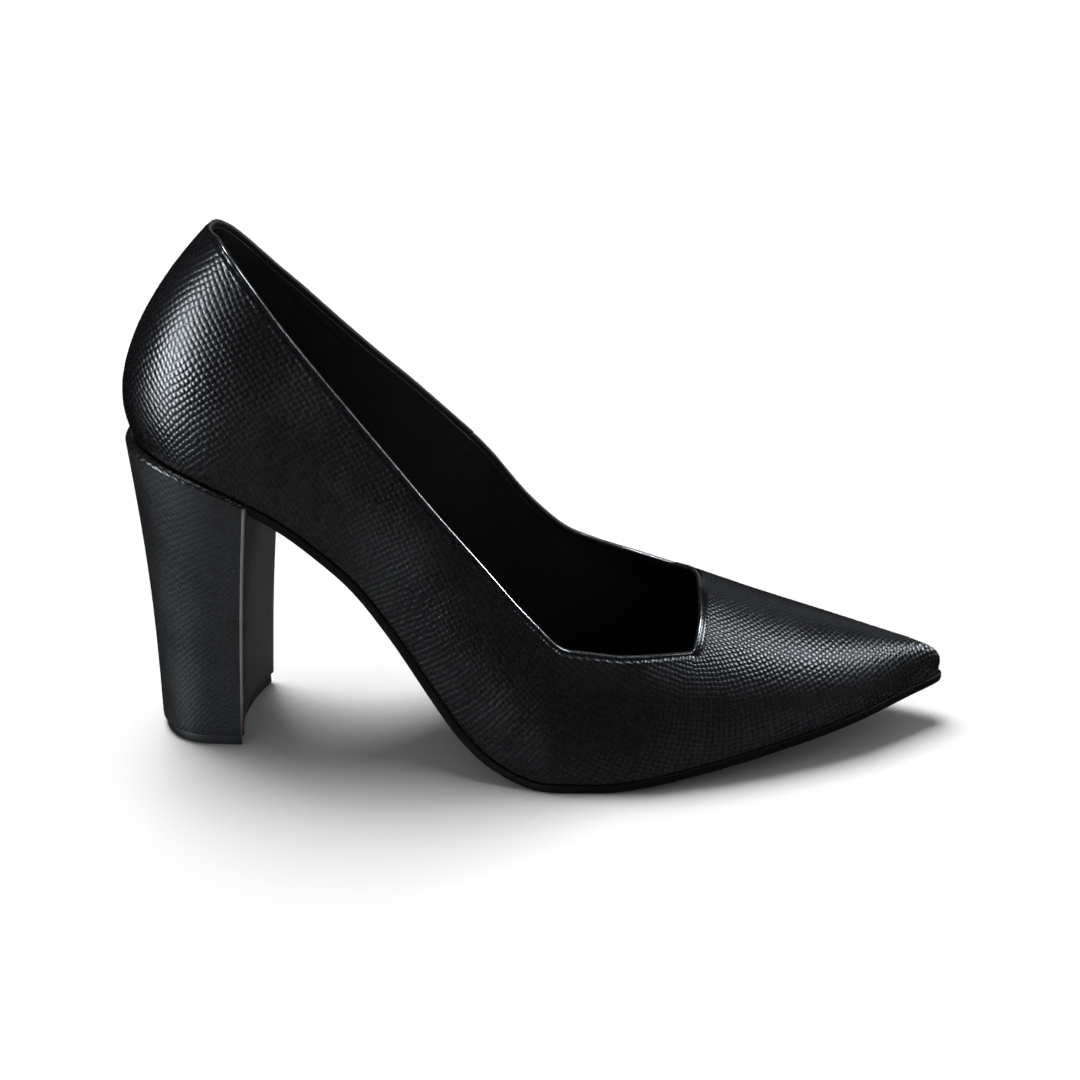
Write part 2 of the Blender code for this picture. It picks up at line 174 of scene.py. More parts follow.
# Mesh density of the fine pieces
STEPS_TOE = 16
STEPS_BACK = 56
STEPS_QUARTER = 46
STEPS_BOTTOM = 110
STEPS_ACROSS = 14
VAMP_GAPS = (0.35 * MM, 2.6 * MM)
THROAT_GAPS = (0.4 * MM, 1.3 * MM)
ROWS_VAMP = 26
ROWS_LOW = 36
ROWS_EDGE = (0.3, 0.6, 0.9, 1.2, 1.5, 1.8, 2.1, 2.4, 2.8, 3.4, 4.3, 5.6)
SHORT_SIDE = 22.0 * MM
SAMPLES = 48
SEAM_STEPS = (-7.0, -4.5, -2.8, -1.7, -1.0, -0.5, -0.15, 0.15, 0.5, 1.0, 1.7, 2.8, 4.5, 7.0)
STEPS_SEAT = 12
STEPS_BREAST = 18
RINGS_HEEL = 40
STEPS_FOLD = 8
STEPS_TUCK = 5
STEPS_RIM = 6
MERGE_NEAR = 0.01 * MM

# Small forms: turned and rounded edges, clearances, and the share of the heel's height that a piece takes
TUCK_TURN = math.radians(100)
FOLD_PLAIN = 0.85
LINING_CLEAR = 0.3 * MM
SOCK_ROUND = 0.6 * MM
SOLE_BROW = 0.25 * MM
SOLE_SINK = 0.08 * MM
SOLE_FLAT = 1.5 * MM
TREAD_FACE = 2.5 * MM * MM
REAR_CLEAR = 3.0 * MM
HEEL_FOOT_ROUND = 0.35 * MM
COVER_SPAN = (0.006, 0.985)
PANEL_SPAN = (0.004, 0.992)
CUT_SPAN = (0.004, 0.988)

# Stage: half the floor, and where the lamps stand and look
FLOOR_HALF = 30.0
LAMP_AWAY = 6.0
LAMP_AIM = Vector((0.0, 0.0, 60.0 * MM))


def length(name, description, default):
    """A size of the shoe, given in millimetres and kept in metres."""
    return FloatProperty(name=name, description=description, default=default * MM, unit="LENGTH",
                         precision=5)


def angle(name, description, default):
    """A turn, given in degrees and kept in radians."""
    return FloatProperty(name=name, description=description, default=math.radians(default),
                         subtype="ANGLE")


def factor(name, description, default):
    """A share between nothing and all."""
    return FloatProperty(name=name, description=description, default=default, min=0.0, max=1.0,
                         subtype="FACTOR")


def power(name, description, default):
    """The power of a lamp."""
    return FloatProperty(name=name, description=description, default=default, unit="POWER")


def colour(name, description, default):
    """A linear colour."""
    return FloatVectorProperty(name=name, description=description, default=default, size=3,
                               min=0.0, max=1.0, subtype="COLOR")


class ShoeSizes(PropertyGroup):
    """Sizes of the fine forms that the looks add to the solids."""

    fold_round: length("Fold round", "Radius of the folded collar edge", 0.8)
    turn_in: length("Turned edge", "How far the leather is folded down inside the collar", 4.0)
    skin: length("Leather", "Thickness of the upper leather", 0.45)
    tuck_round: length("Tuck round", "Radius where the upper turns under at the sole", 0.8)
    band: length("Plain band", "Width of the smooth band along the collar edge", 1.9)
    groove: length("Band groove", "Depth of the band below the leather beside it", 0.11)
    ridge: length("Band ridge", "Height of the ridge that ends the band", 0.09)
    front_groove: length("Front groove", "Depth of the groove that ends the band at the throat's front",
                         0.2)
    front_band: length("Front band", "Width of the smooth band at the front of the throat", 2.5)
    throat_round_outer: length("Outer throat corner", "Radius of the throat's outer front corner", 1.2)
    throat_round_inner: length("Inner throat corner", "Radius of the throat's inner front corner", 3.5)
    throat_pull_outer: length("Outer pull", "How far the throat's front bends back to its outer corner",
                              2.8)
    throat_pull_inner: length("Inner pull", "How far the throat's front bends back to its inner corner",
                              5.0)
    corner_ease: length("Collar corners", "Half the length over which the collar bends into the throat",
                        3.5)
    swell: length("Swell", "Slight unevenness of leather pulled over the last", 0.07)
    seam_x: length("Side seam", "Where the inner side seam meets the collar edge", -27.0)
    seam_slant: length("Seam slant", "How far the side seam runs back on its way down", 17.0)
    seam_lap: length("Seam lap", "Step where one leather laps over the other", 0.4)
    lining_inset: length("Lining drop", "How far the lining stops below the collar edge", 1.5)
    lining_thick: length("Lining", "Thickness of the lining", 0.3)
    sock_crown: length("Sock crown", "How far the sock rises along its middle", 0.5)
    sole_proud: length("Sole margin", "How far the sole's edge stands out along the sides", 0.15)
    sole_tip: length("Sole tip", "How much farther it stands out at the tip", 0.7)
    sole_round: length("Sole edge", "Radius of the sole's lower edge", 0.9)
    rim_round: length("Heel rim", "Radius of the heel cover's upper rim", 1.8)
    cut_edge: length("Cut edge", "Width of the cover's bevelled cut edge at the heel's front corners",
                     0.75)
    breast_skin: length("Breast leather", "Thickness of the heel's front panel", 0.3)
    breast_skew: length("Breast skew", "How far the heel's inner front corner stands ahead", 1.5)
    tip_round: length("Top piece edge", "Radius of the top piece's edges", 0.45)


class ShoeFinishes(PropertyGroup):
    """Colours and grain of the materials."""

    # The grain's hollows are painted darker than its crowns: painted shade in the grooves between the
    # cells.
    leather: colour("Leather", "Crowns of the embossed leather", (0.0115, 0.0115, 0.0132))
    leather_hollow_shade: colour("Leather, deep", "Hollows between the embossed cells", (0.0045, 0.0045, 0.0053))
    # The heel's colours are the upper's leather painted lighter, as a painted reflection of the floor on
    # the heel's sides; their hollows are painted darker as painted shade.
    heel: colour("Heel leather", "Crowns of the leather stretched over the heel", (0.019, 0.019, 0.0205))
    heel_hollow_shade_and_sheen: colour("Heel leather, deep", "Hollows of that leather", (0.009, 0.009, 0.01))
    lining: colour("Lining", "Lining and sock leather", (0.018, 0.018, 0.0185))
    sole: colour("Sole edge", "Painted edge of the sole", (0.003, 0.003, 0.0035))
    tread: colour("Sole tread", "Underside of the sole", (0.022, 0.021, 0.021))
    # The heel's front panel has a warm grey of its own, painted lighter still to make up for lamp light
    # that does not reach it.
    breast: colour("Breast", "Smooth leather on the heel's front", (0.078, 0.075, 0.068))
    raw: colour("Cut edge", "Bare fibres of the cover's cut edge", (0.24, 0.235, 0.225))
    stain: colour("Cut edge, foot", "Cement stain at the foot of the cut edge", (0.11, 0.062, 0.03))
    rubber: colour("Top piece", "Rubber of the top piece", (0.02, 0.023, 0.028))
    floor: colour("Floor", "Studio floor", (0.9, 0.9, 0.9))
    rows_up: angle("Rising rows", "Slant of the rows of cells that rise to the toe", 28.0)
    rows_down: angle("Falling rows", "Slant of the rows of cells that fall to the toe", -58.0)
    rows_heel: angle("Heel turn", "How far both families are turned on the heel cover", 16.0)
    pitch: length("Pitch", "Distance between the rows", 1.45)
    cell_depth: length("Cell depth", "Height of the embossed cells", 0.11)
    heel_flat: factor("Heel flatness", "How much the stretching flattens the cells on the heel", 0.62)
    widen_back: FloatProperty(name="Grain at the back", description="Width of the cells at the counter",
                              default=1.16)
    widen_toe: FloatProperty(name="Grain at the toe", description="Width of the cells at the toe",
                             default=0.95)
    cell_stray: factor("Cell stray", "How irregular the cells are", 0.24)


class ShoeStage(PropertyGroup):
    """Camera and lamps."""

    azimuth: angle("Azimuth", "How far the camera stands round to the toe", 5.5)
    elevation: angle("Elevation", "How far the camera looks down", 27.0)
    roll: angle("Roll", "Turn of the picture", -1.0)
    distance: length("Distance", "From the camera to the point it looks at", 620.0)
    target: FloatVectorProperty(name="Target", description="The point the camera looks at", size=3,
                                default=(-0.2 * MM, 0.0, 61.3 * MM), subtype="XYZ", unit="LENGTH")
    lens: FloatProperty(name="Lens", description="Focal length on a 36 mm square", default=72.13,
                        unit="CAMERA")
    key_power: power("Key lamp", "Power of the lamp that lights the floor", 405.0)
    top_power: power("Top lamp", "Power of the lamp that shines on the vamp", 112.0)
    side_power: power("Side lamp", "Power of the lamp that shines on the counter", 275.0)
    back_power: power("Back lamp", "Power of the broad lamp behind", 11.0)
    edge_power: power("Edge lamp", "Power of the small lamp that shines on the throat's edge", 130.0)
    rim_power: power("Rim lamp", "Power of the small lamp that shines on the collar's edge", 190.0)
    glow_power: power("Floor glow", "Power of the broad lamp that stands for the floor's own shine", 9.5)
    toe_power: power("Toe glow", "Power of the low lamp that lights the wall of the toe", 5.5)
    lamp_tone: colour("Lamps", "Colour of the lamps that only shine", (0.86, 0.93, 1.0))
    sky: factor("Sky", "Strength of the even light from all round", 0.2)


# The last's own curves, as in the solids

def columns(rows, names, column):
    """The first column of a table and a named one, in metres."""
    place = names.index(column)
    return [row[0] * MM for row in rows], [row[place] * MM for row in rows]


def smooth(rows, names, column):
    """Return a curve along x through one column of a table that never overshoots its rows."""
    xs, ys = columns(rows, names, column)
    runs = [b - a for a, b in zip(xs, xs[1:])]
    grades = [(b - a) / run for a, b, run in zip(ys, ys[1:], runs)]
    slopes = [grades[0]]
    for k in range(1, len(runs)):
        left, right = grades[k - 1], grades[k]
        lean = (left * runs[k] + right * runs[k - 1]) / (runs[k - 1] + runs[k])
        limit = 3 * min(abs(left), abs(right)) if left * right > 0 else 0.0
        slopes.append(max(-limit, min(limit, lean)))
    slopes.append(grades[-1])

    def curve(x):
        x = min(max(x, xs[0]), xs[-1])
        i = max(k for k in range(len(runs)) if xs[k] <= x)
        run = runs[i]
        u = (x - xs[i]) / run
        keep = (1 + 2 * u) * (1 - u) ** 2 * ys[i] + u * u * (3 - 2 * u) * ys[i + 1]
        turn = u * (1 - u) ** 2 * slopes[i] - u * u * (1 - u) * slopes[i + 1]
        return keep + turn * run

    return curve


def straight(rows, names, column):
    """Return the polyline along x through one column of a table."""
    xs, ys = columns(rows, names, column)

    def line(x):
        x = min(max(x, xs[0]), xs[-1])
        i = max(k for k in range(len(xs) - 1) if xs[k] <= x)
        return mix(ys[i], ys[i + 1], (x - xs[i]) / (xs[i + 1] - xs[i]))

    return line


last = {name: smooth(LAST, LAST_NAMES, name) for name in LAST_NAMES[1:]}
feather = smooth(FEATHER, FEATHER_NAMES, "z")
quarter_top = {side: smooth(COLLAR, COLLAR_NAMES, name) for side, name in SIDES.items()}
throat_top = {side: straight(THROAT, COLLAR_NAMES, name) for side, name in SIDES.items()}


def collar_height(x, side, ease):
    """Height of the collar edge, with its corner eased into an arc."""
    start, end = CORNER_X - ease, CORNER_X + ease
    if x < start:
        return quarter_top[side](x)
    if x > end:
        return throat_top[side](x)
    u = (x - start) / (end - start)
    corner = throat_top[side](CORNER_X)
    return mix(mix(quarter_top[side](start), corner, u), mix(corner, throat_top[side](end), u), u)


def mix(a, b, share):
    return a + (b - a) * share


def steps(a, b, count):
    return [mix(a, b, k / count) for k in range(count + 1)]


def hump(x):
    """A soft hump: 1 at 0, 0 from 1 on."""
    return max(0.0, 1.0 - x * x) ** 2


def graded(start, end, first, most, growth=1.22):
    """Stations from start to end, close together at the start."""
    gaps = [first]
    while sum(gaps) < abs(end - start):
        gaps.append(min(most, gaps[-1] * growth))
    total = sum(gaps)
    return [mix(start, end, sum(gaps[:k]) / total) for k in range(len(gaps) + 1)]


def quarter_round(radius, count):
    """Steps of a quarter turn on an arc: how far it has bent away, and how far it still has to go."""
    return [(radius * (1 - math.cos(turn)), radius * (1 - math.sin(turn)))
            for turn in steps(0.0, math.pi / 2, count)]


def swing(x):
    """Sideways place of the centre line, and its slope."""
    run = TIP_X - SWING_FROM
    share = max(0.0, (x - SWING_FROM) / run)
    return CENTRE_Y + TOE_SWING * share ** 2, 2 * TOE_SWING * share / run


def place(x, along, across, z):
    """A point of the section at x, given in that section's own directions."""
    y, slope = swing(x)
    return Vector((x + along - slope * across, y + across + slope * along, z))


def station_of(spot):
    """How far along the centre line a point lies."""
    y, slope = swing(spot.x)
    return spot.x + slope * (spot.y - y)


def half_width(x, side):
    return last[SIDES[side]](x)


def crown_width(x, side):
    return last["crown_" + SIDES[side]](x)


def section_column(x, side):
    """Four curve points that run up one side of the last from feather to ridge."""
    low = feather(x)
    half = half_width(x, side)
    lean = last["lean"](x)
    ridge = last["ridge"](x)
    rise = last["rise"](x)
    return (place(x, 0.0, side * half, low),
            place(x, lean * rise / (ridge - low), side * (half + last["flare"](x)), low + rise),
            place(x, lean, side * crown_width(x, side), ridge),
            place(x, lean, 0.0, ridge))


def rounded(turn, square):
    """A quarter of a superellipse: how far forward and how far sideways at a turn."""
    power = 2.0 / square
    side = math.copysign(abs(math.sin(turn)) ** power, math.sin(turn))
    return abs(math.cos(turn)) ** power, side


def heel_column(turn):
    """The same four points around the back, from -90 (outer) through 0 (back) to 90."""
    back, across = rounded(turn, HEEL_SQUARE)
    side = -1 if turn < 0 else 1
    half = half_width(HEEL_X, side)
    share = math.cos(turn) ** 2
    lean = last["lean"](HEEL_X)
    ridge = last["ridge"](HEEL_X)
    flare = mix(last["flare"](HEEL_X), BACK_FLARE, share)
    rise = mix(last["rise"](HEEL_X), BACK_RISE, share)
    crown = mix(crown_width(HEEL_X, side), BACK_CROWN, share)
    foot = place(HEEL_X, -HEEL_REACH * back, half * across, 0.0)
    foot.z = feather(foot.x)
    out = Vector((-math.cos(turn), math.sin(turn), 0.0))
    ahead = lean * rise / (ridge - feather(HEEL_X)) * (1 - math.cos(turn))
    top = place(HEEL_X, lean, 0.0, ridge)
    return foot, foot + out * flare + Vector((ahead, 0.0, rise)), top + out * crown, top


def nose_size(curve, share, reach, tip):
    """A size of the last carried round the nose, from the side's own grade to the size at the tip."""
    size = curve(TOE_X)
    middle = size + (size - curve(TOE_X - MM)) / MM * reach
    return mix(mix(tip, middle, share), mix(middle, size, share), share)


def toe_column(turn):
    """The same four points around the nose, from -90 (outer) through 0 (tip) to 90."""
    side = -1 if turn < 0 else 1
    share = abs(turn) / (math.pi / 2)
    ahead = 1 - share * share
    reach = TIP_X - TOE_X
    edge = side * nose_size(lambda x: half_width(x, side), share, reach, 0.0)
    crown = side * nose_size(lambda x: crown_width(x, side), share, NOSE_CROWN, 0.0)
    rise = nose_size(last["rise"], share, reach, NOSE_RISE)
    flare = nose_size(last["flare"], share, reach, NOSE_FLARE)
    ridge = last["ridge"](TOE_X)
    low = feather(TOE_X + reach * ahead)
    foot = place(TOE_X, reach * ahead, edge, low)
    knee = place(TOE_X, reach * ahead + flare * math.cos(turn), edge + flare * math.sin(turn), low + rise)
    brow = place(TOE_X, NOSE_CROWN * ahead, crown, ridge - NOSE_DROP * NOSE_CROWN * ahead)
    return foot, knee, brow, place(TOE_X, 0.0, 0.0, ridge)


def on_curve(points, t):
    a, b, c, d = points
    s = 1 - t
    return a * s ** 3 + b * (3 * s * s * t) + c * (3 * s * t * t) + d * t ** 3


def collar_share(points, side, ease):
    """Where the collar edge crosses one column, by halving."""
    low, high = 0.05, 0.98
    for _ in range(40):
        middle = (low + high) / 2
        spot = on_curve(points, middle)
        if spot.z < collar_height(station_of(spot), side, ease):
            low = middle
        else:
            high = middle
    return (low + high) / 2


def lowered(spot, drop, upright=False):
    """Move a point of the bottom line down, square to the line's slope or straight down."""
    pace = 0.5 * MM
    slope = (feather(spot.x + pace) - feather(spot.x - pace)) / (2 * pace)
    size = math.hypot(slope, 1.0)
    if upright:
        return spot - Vector((0.0, 0.0, drop * size))
    return spot + Vector((drop * slope / size, 0.0, -drop / size))


def side_edge(x, side, grow, drop, upright=False):
    across = side * (half_width(x, side) + grow)
    return lowered(place(x, 0.0, across, feather(x)), drop, upright)


def heel_edge(turn, grow, drop):
    foot = heel_column(turn)[0]
    return lowered(foot + Vector((-math.cos(turn), math.sin(turn), 0.0)) * grow, drop)


def toe_edge(turn, grow, drop):
    foot = toe_column(turn)[0]
    slope = swing(TOE_X)[1]
    ahead = math.cos(turn)
    beside = math.sin(turn)
    return lowered(foot + Vector((ahead - slope * beside, beside + slope * ahead, 0.0)) * grow, drop)


def breast_x(y, half, corner_x):
    """The heel's hollow front in plan."""
    return corner_x - BREAST_HOLLOW * (1 - min(1.0, abs(y) / half) ** 2)


def rear_edge(start, share, side, grow, drop):
    half = half_width(start, side) + grow
    across = side * half * share
    x = breast_x(across, half, start)
    return lowered(place(x, 0.0, across, feather(x)), drop, upright=True)


# The upper's skin as lines that run up from the feather edge

class SkinLine:
    """One line up the last's skin, with its length measured."""

    def __init__(self, spot, top, station, side, closed=False):
        self.spot = spot
        self.top = top
        self.station = station
        self.side = side
        self.closed = closed
        self.behind = -1.0
        self.shares = steps(0.0, 1.0, SAMPLES)
        spots = [spot(t) for t in self.shares]
        self.run = [0.0]
        for one, two in zip(spots, spots[1:]):
            self.run.append(self.run[-1] + (two - one).length)
        self.top_run = self.run_at(top)

    def run_at(self, t):
        """Length from the feather edge up to a share of the line."""
        k = min(int(t * SAMPLES), SAMPLES - 1)
        return mix(self.run[k], self.run[k + 1], t * SAMPLES - k)

    def share_at(self, run):
        """The share of the line at a length from the feather edge."""
        k = next((k for k in range(SAMPLES) if self.run[k + 1] >= run), SAMPLES - 1)
        step = (run - self.run[k]) / (self.run[k + 1] - self.run[k])
        return mix(self.shares[k], self.shares[k + 1], step)


def curve_line(points, top, station, side, closed=False):
    """A line along one column of curve points."""
    return SkinLine(lambda t: on_curve(points, t), top, station, side, closed)


def section_line(station, side, ease, slant):
    """A line up to the collar edge at one station; slant moves its foot along the shoe."""
    points = section_column(station, side)
    top = collar_share(points, side, ease)
    if slant == 0.0:
        return curve_line(points, top, station, side)

    def spot(t):
        return on_curve(section_column(station + slant * (1 - t / top), side), t)

    return SkinLine(spot, top, station, side)


def seam_slant(station, sizes):
    """How far a line of the inner side is slanted, so that one line runs along the seam."""
    return -sizes.seam_slant * hump((station - sizes.seam_x) / SEAM_SPREAD)


def quarter_stations(side, sizes):
    """Stations from the throat's corner to the heel end, close together at the inner side seam."""
    even = steps(CORNER_X, HEEL_X, STEPS_QUARTER)[1:]
    if side < 0:
        return even
    clear = SEAM_STEPS[-1] * MM
    near = [sizes.seam_x + step * MM for step in SEAM_STEPS]
    return sorted([x for x in even if abs(x - sizes.seam_x) > clear] + near, reverse=True)


def throat_pull(behind, above, side, sizes):
    """How far a point near the front of the throat moves back towards its corners."""
    pull = sizes.throat_pull_outer if side < 0 else sizes.throat_pull_inner
    near = max(0.0, 1 - abs(behind) / PULL_BACK) ** 2
    low = max(0.0, 1 - max(0.0, above) / PULL_UP) ** 2
    return pull * near * low


def skin_lines(sizes, inset):
    """Every line of the upper in order: tip, outer side, back, inner side, tip.

    inset is how far the sheet stops short of the collar edge.
    """
    ease = sizes.corner_ease
    front = THROAT_X + inset
    vamp = graded(front, TOE_X, *VAMP_GAPS)[::-1]
    throat = graded(front, CORNER_X, *THROAT_GAPS)[1:]
    corner = {}
    for side in SIDES:
        station = THROAT_X - throat_pull(0.0, 0.0, side, sizes)
        corner[side] = collar_share(section_column(station, side), side, ease)
    middle = (corner[-1] + corner[1]) / 2
    halves = {}
    for side in SIDES:
        lines = []
        for turn in steps(0.0, math.pi / 2, STEPS_TOE)[:-1]:
            top = mix(corner[side], middle, math.cos(turn))
            lines.append(curve_line(toe_column(side * turn), top, TIP_X, side, closed=True))
        for x in vamp:
            lines.append(curve_line(section_column(x, side), corner[side], x, side, closed=True))
            lines[-1].behind = front - x
        for x in throat + quarter_stations(side, sizes):
            slant = seam_slant(x, sizes) if side > 0 else 0.0
            lines.append(section_line(x - throat_pull(front - x, 0.0, side, sizes), side, ease, slant))
            lines[-1].behind = front - x
        halves[side] = lines
    back = []
    for turn in steps(-math.pi / 2, math.pi / 2, STEPS_BACK)[1:-1]:
        points = heel_column(turn)
        lean = min(1.0, max(0.0, 0.5 + turn / BACK_BLEND))
        lean = lean * lean * (3 - 2 * lean)
        top = mix(collar_share(points, -1, ease), collar_share(points, 1, ease), lean)
        back.append(curve_line(points, top, HEEL_X, -1 if turn < 0 else 1))
    return halves[-1] + back + halves[1][::-1]


def corner_shift(behind, above, radius):
    """How far a point moves, back and up, so that a throat corner becomes an arc."""
    spare = 1 - math.sqrt(0.5)

    def on_arc(reach):
        if reach >= radius:
            return 0.0, 0.0
        moved = mix(spare * radius, radius, reach / radius)
        rest = radius - math.sqrt(radius * radius - (radius - moved) ** 2)
        return moved - reach, rest

    if behind > 0:
        slide, lift = on_arc(behind)
        depth = -above
    elif above > 0:
        lift, slide = on_arc(above)
        depth = -behind
    else:
        slide, lift = on_arc(0.0)
        depth = math.hypot(behind, above)
    weight = max(0.0, 1 - depth / (3 * radius)) ** 2
    return slide * weight, lift * weight


class SkinFact(NamedTuple):
    """What one vertex of the skin needs to be finished."""

    vert: bmesh.types.BMVert
    edge: float
    past: float
    rise: float
    front: bool


class SkinSheet:
    """The upper's skin as an open mesh, with what each vertex needs to be finished."""

    def __init__(self, sizes, inset):
        self.sizes = sizes
        self.inset = inset
        self.work = bmesh.new()
        self.plain = self.work.verts.layers.float.new(PLAIN_LAYER)
        self.seam = self.work.verts.layers.int.new("seam")
        self.facts = []
        self.columns = [self.column(line) for line in skin_lines(sizes, inset)]
        for one, two in zip(self.columns, self.columns[1:]):
            bridge(self.work, one, two, closed=False)
        bmesh.ops.remove_doubles(self.work, verts=self.work.verts[:], dist=MERGE_NEAR)
        self.work.normal_update()

    def column(self, line):
        """One column of vertices, feather edge first."""
        sizes = self.sizes
        scale = min(1.0, line.top_run / SHORT_SIDE)
        drops = [self.inset] + [self.inset + row * MM for row in ROWS_EDGE]
        drops = [drop * scale for drop in drops]
        foot = line.top_run - sizes.tuck_round
        drops += steps(drops[-1], foot, ROWS_LOW)[1:]
        runs = [line.top_run - drop for drop in reversed(drops)]
        start = runs[-1]
        if line.closed:
            runs += steps(start, line.run[-1], ROWS_VAMP)[1:]
        behind = line.behind
        radius = sizes.throat_round_outer if line.side < 0 else sizes.throat_round_inner
        column = []
        for k, run in enumerate(runs):
            slide, lift = corner_shift(behind, run - start, radius)
            last_row = line.closed and k == len(runs) - 1
            if line.closed:
                slide += throat_pull(behind, run - start, line.side, sizes)
            t = 1.0 if last_row else line.share_at(run + lift)
            if slide:
                spot = on_curve(section_column(line.station - slide, line.side), t)
            else:
                spot = line.spot(t)
            vert = self.work.verts.new(spot)
            self.note(vert, line, start + self.inset - run, run)
            column.append(vert)
        return column

    def note(self, vert, line, drop, rise):
        """Keep how far a vertex lies from the collar edge, the side seam and the feather edge."""
        ahead = line.station - THROAT_X
        edge = math.hypot(max(0.0, ahead), max(0.0, drop)) if line.closed else drop
        past = line.station - self.sizes.seam_x if line.side > 0 else 1.0
        if 0 < past <= SEAM_NEAR:
            vert[self.seam] = 1
        self.facts.append(SkinFact(vert, edge, past, rise, line.closed and drop < edge))

    def push(self, height):
        """Move every vertex out along its normal by the height that its fact gives."""
        moves = [(fact.vert, fact.vert.normal * height(fact)) for fact in self.facts if fact.vert.is_valid]
        for vert, move in moves:
            vert.co += move
        self.work.normal_update()

    def open_loops(self):
        """Ordered vertex loops along the sheet's open edges, the lowest first."""
        self.work.edges.index_update()
        rim = [edge for edge in self.work.edges if edge.is_boundary]
        left = {edge.index for edge in rim}
        loops = []
        for edge in rim:
            if edge.index not in left:
                continue
            left.remove(edge.index)
            loop = list(edge.verts)
            while True:
                after = next((e for e in loop[-1].link_edges if e.index in left), None)
                if after is None:
                    break
                left.remove(after.index)
                loop.append(after.other_vert(loop[-1]))
            if loop[-1] is loop[0]:
                loop.pop()
            loops.append(loop)
        return sorted(loops, key=lambda loop: sum(vert.co.z for vert in loop) / len(loop))

    def roll(self, loop, radius, turn, count, tail=(), plain=0.0, slots=(0, 0)):
        """Roll one open edge over to the inside: an arc, then straight rows.

        plain flattens the grain there; slots are the materials of the arc's first half and of the rest.
        """
        count_round = len(loop)
        outs = []
        for k, vert in enumerate(loop):
            along = loop[(k + 1) % count_round].co - loop[k - 1].co
            out = along.cross(vert.normal).normalized()
            inner = [edge.other_vert(vert) for edge in vert.link_edges if not edge.is_boundary]
            if out.dot(vert.co - inner[0].co) < 0:
                out.negate()
            outs.append(out)
        for _ in range(3):
            outs = [(outs[k - 1] + outs[k] * 2 + outs[(k + 1) % count_round]).normalized()
                    for k in range(count_round)]
        ways = [(vert.co.copy(), vert.normal.copy(), out) for vert, out in zip(loop, outs)]
        rows = []
        for bend in steps(0.0, turn, count)[1:]:
            rows.append([spot + normal * (radius * (math.cos(bend) - 1)) + out * (radius * math.sin(bend))
                         for spot, normal, out in ways])
        for reach in tail:
            rows.append([spot - normal * (2 * radius) - out * reach for spot, normal, out in ways])
        edge = self.work.edges.get((loop[0], loop[1]))
        forward = edge.link_loops[0].vert is loop[0]
        ring = loop
        for step, row in enumerate(rows):
            slot = slots[0] if step < count / 2 else slots[1]
            after = [self.work.verts.new(spot) for spot in row]
            for vert, old in zip(after, loop):
                vert[self.seam] = old[self.seam]
                vert[self.plain] = max(old[self.plain], plain)
            for face in bridge(self.work, *((after, ring) if forward else (ring, after))):
                face.material_index = slot
            ring = after
        self.work.normal_update()

    def mark_seam(self):
        """Mark the side seam's edges, where the flat pattern is cut."""
        for edge in self.work.edges:
            edge.seam = all(vert[self.seam] for vert in edge.verts)


def band_relief(fact, sizes):
    """Height of the plain collar band: a groove, then a ridge; at the front one narrow groove."""
    if fact.front:
        return -sizes.front_groove * hump((fact.edge - 0.8 * sizes.front_band) / (0.36 * sizes.front_band))
    groove = hump((fact.edge - 0.72 * sizes.band) / (0.6 * sizes.band))
    ridge = hump((fact.edge - 1.18 * sizes.band) / (0.3 * sizes.band))
    return sizes.ridge * ridge - sizes.groove * groove


def seam_relief(past, lap):
    """Height at the side seam: the rear leather laps over the front one."""
    return lap * hump(past / SEAM_FADE) if past <= 0.0 else 0.0


def plain_share(fact, sizes):
    """How far the grain is flattened beside the folded edge."""
    if fact.front:
        return hump(max(0.0, fact.edge - 0.75 * sizes.front_band) / (0.4 * sizes.front_band))
    return 0.75 * hump((fact.edge - 0.6 * sizes.band) / (0.5 * sizes.band))


def pucker_at(fact):
    """Small puckers where the leather is drawn round the toe above the sole."""
    low = hump((fact.rise - PUCKER_LOW) / PUCKER_TALL)
    if low == 0.0:
        return 0.0
    return low * sum(height * MM * hump((fact.vert.co.x - x * MM) / PUCKER_WIDE) for x, height in PUCKERS)


def swell_at(spot, swell):
    """Slight unevenness of leather pulled over a last."""
    return swell * (noise.noise(spot * 55.0) + 0.5 * noise.noise(spot * 140.0))


def keep_piece(name, mesh, replaced, material):
    """Make a mesh a piece of the shoe, in place of a solid where one is named."""
    mesh.materials.append(material)
    piece = bpy.data.objects.new(name, mesh)
    bpy.context.scene.collection.objects.link(piece)
    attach(piece, BODY)
    if replaced:
        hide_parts(replaced)
    return piece


def bridge(work, one, two, closed=True):
    """Join two rows of vertices by a row of faces."""
    count = min(len(one), len(two))
    pairs = [(k, (k + 1) % count) for k in range(count if closed else count - 1)]
    return [work.faces.new((one[a], one[b], two[b], two[a])) for a, b in pairs]


def to_mesh(name, work, sharp=None):
    """Turn a bmesh into a smooth-shaded mesh."""
    mesh = bpy.data.meshes.new(name)
    work.to_mesh(mesh)
    work.free()
    mesh.shade_smooth()
    if sharp is not None:
        mesh.set_sharp_from_angle(angle=math.radians(sharp))
    return mesh


def thicken(piece, thickness, offset):
    """Give a sheet its thickness."""
    wall = piece.modifiers.new("thickness", "SOLIDIFY")
    wall.thickness = thickness
    wall.offset = offset


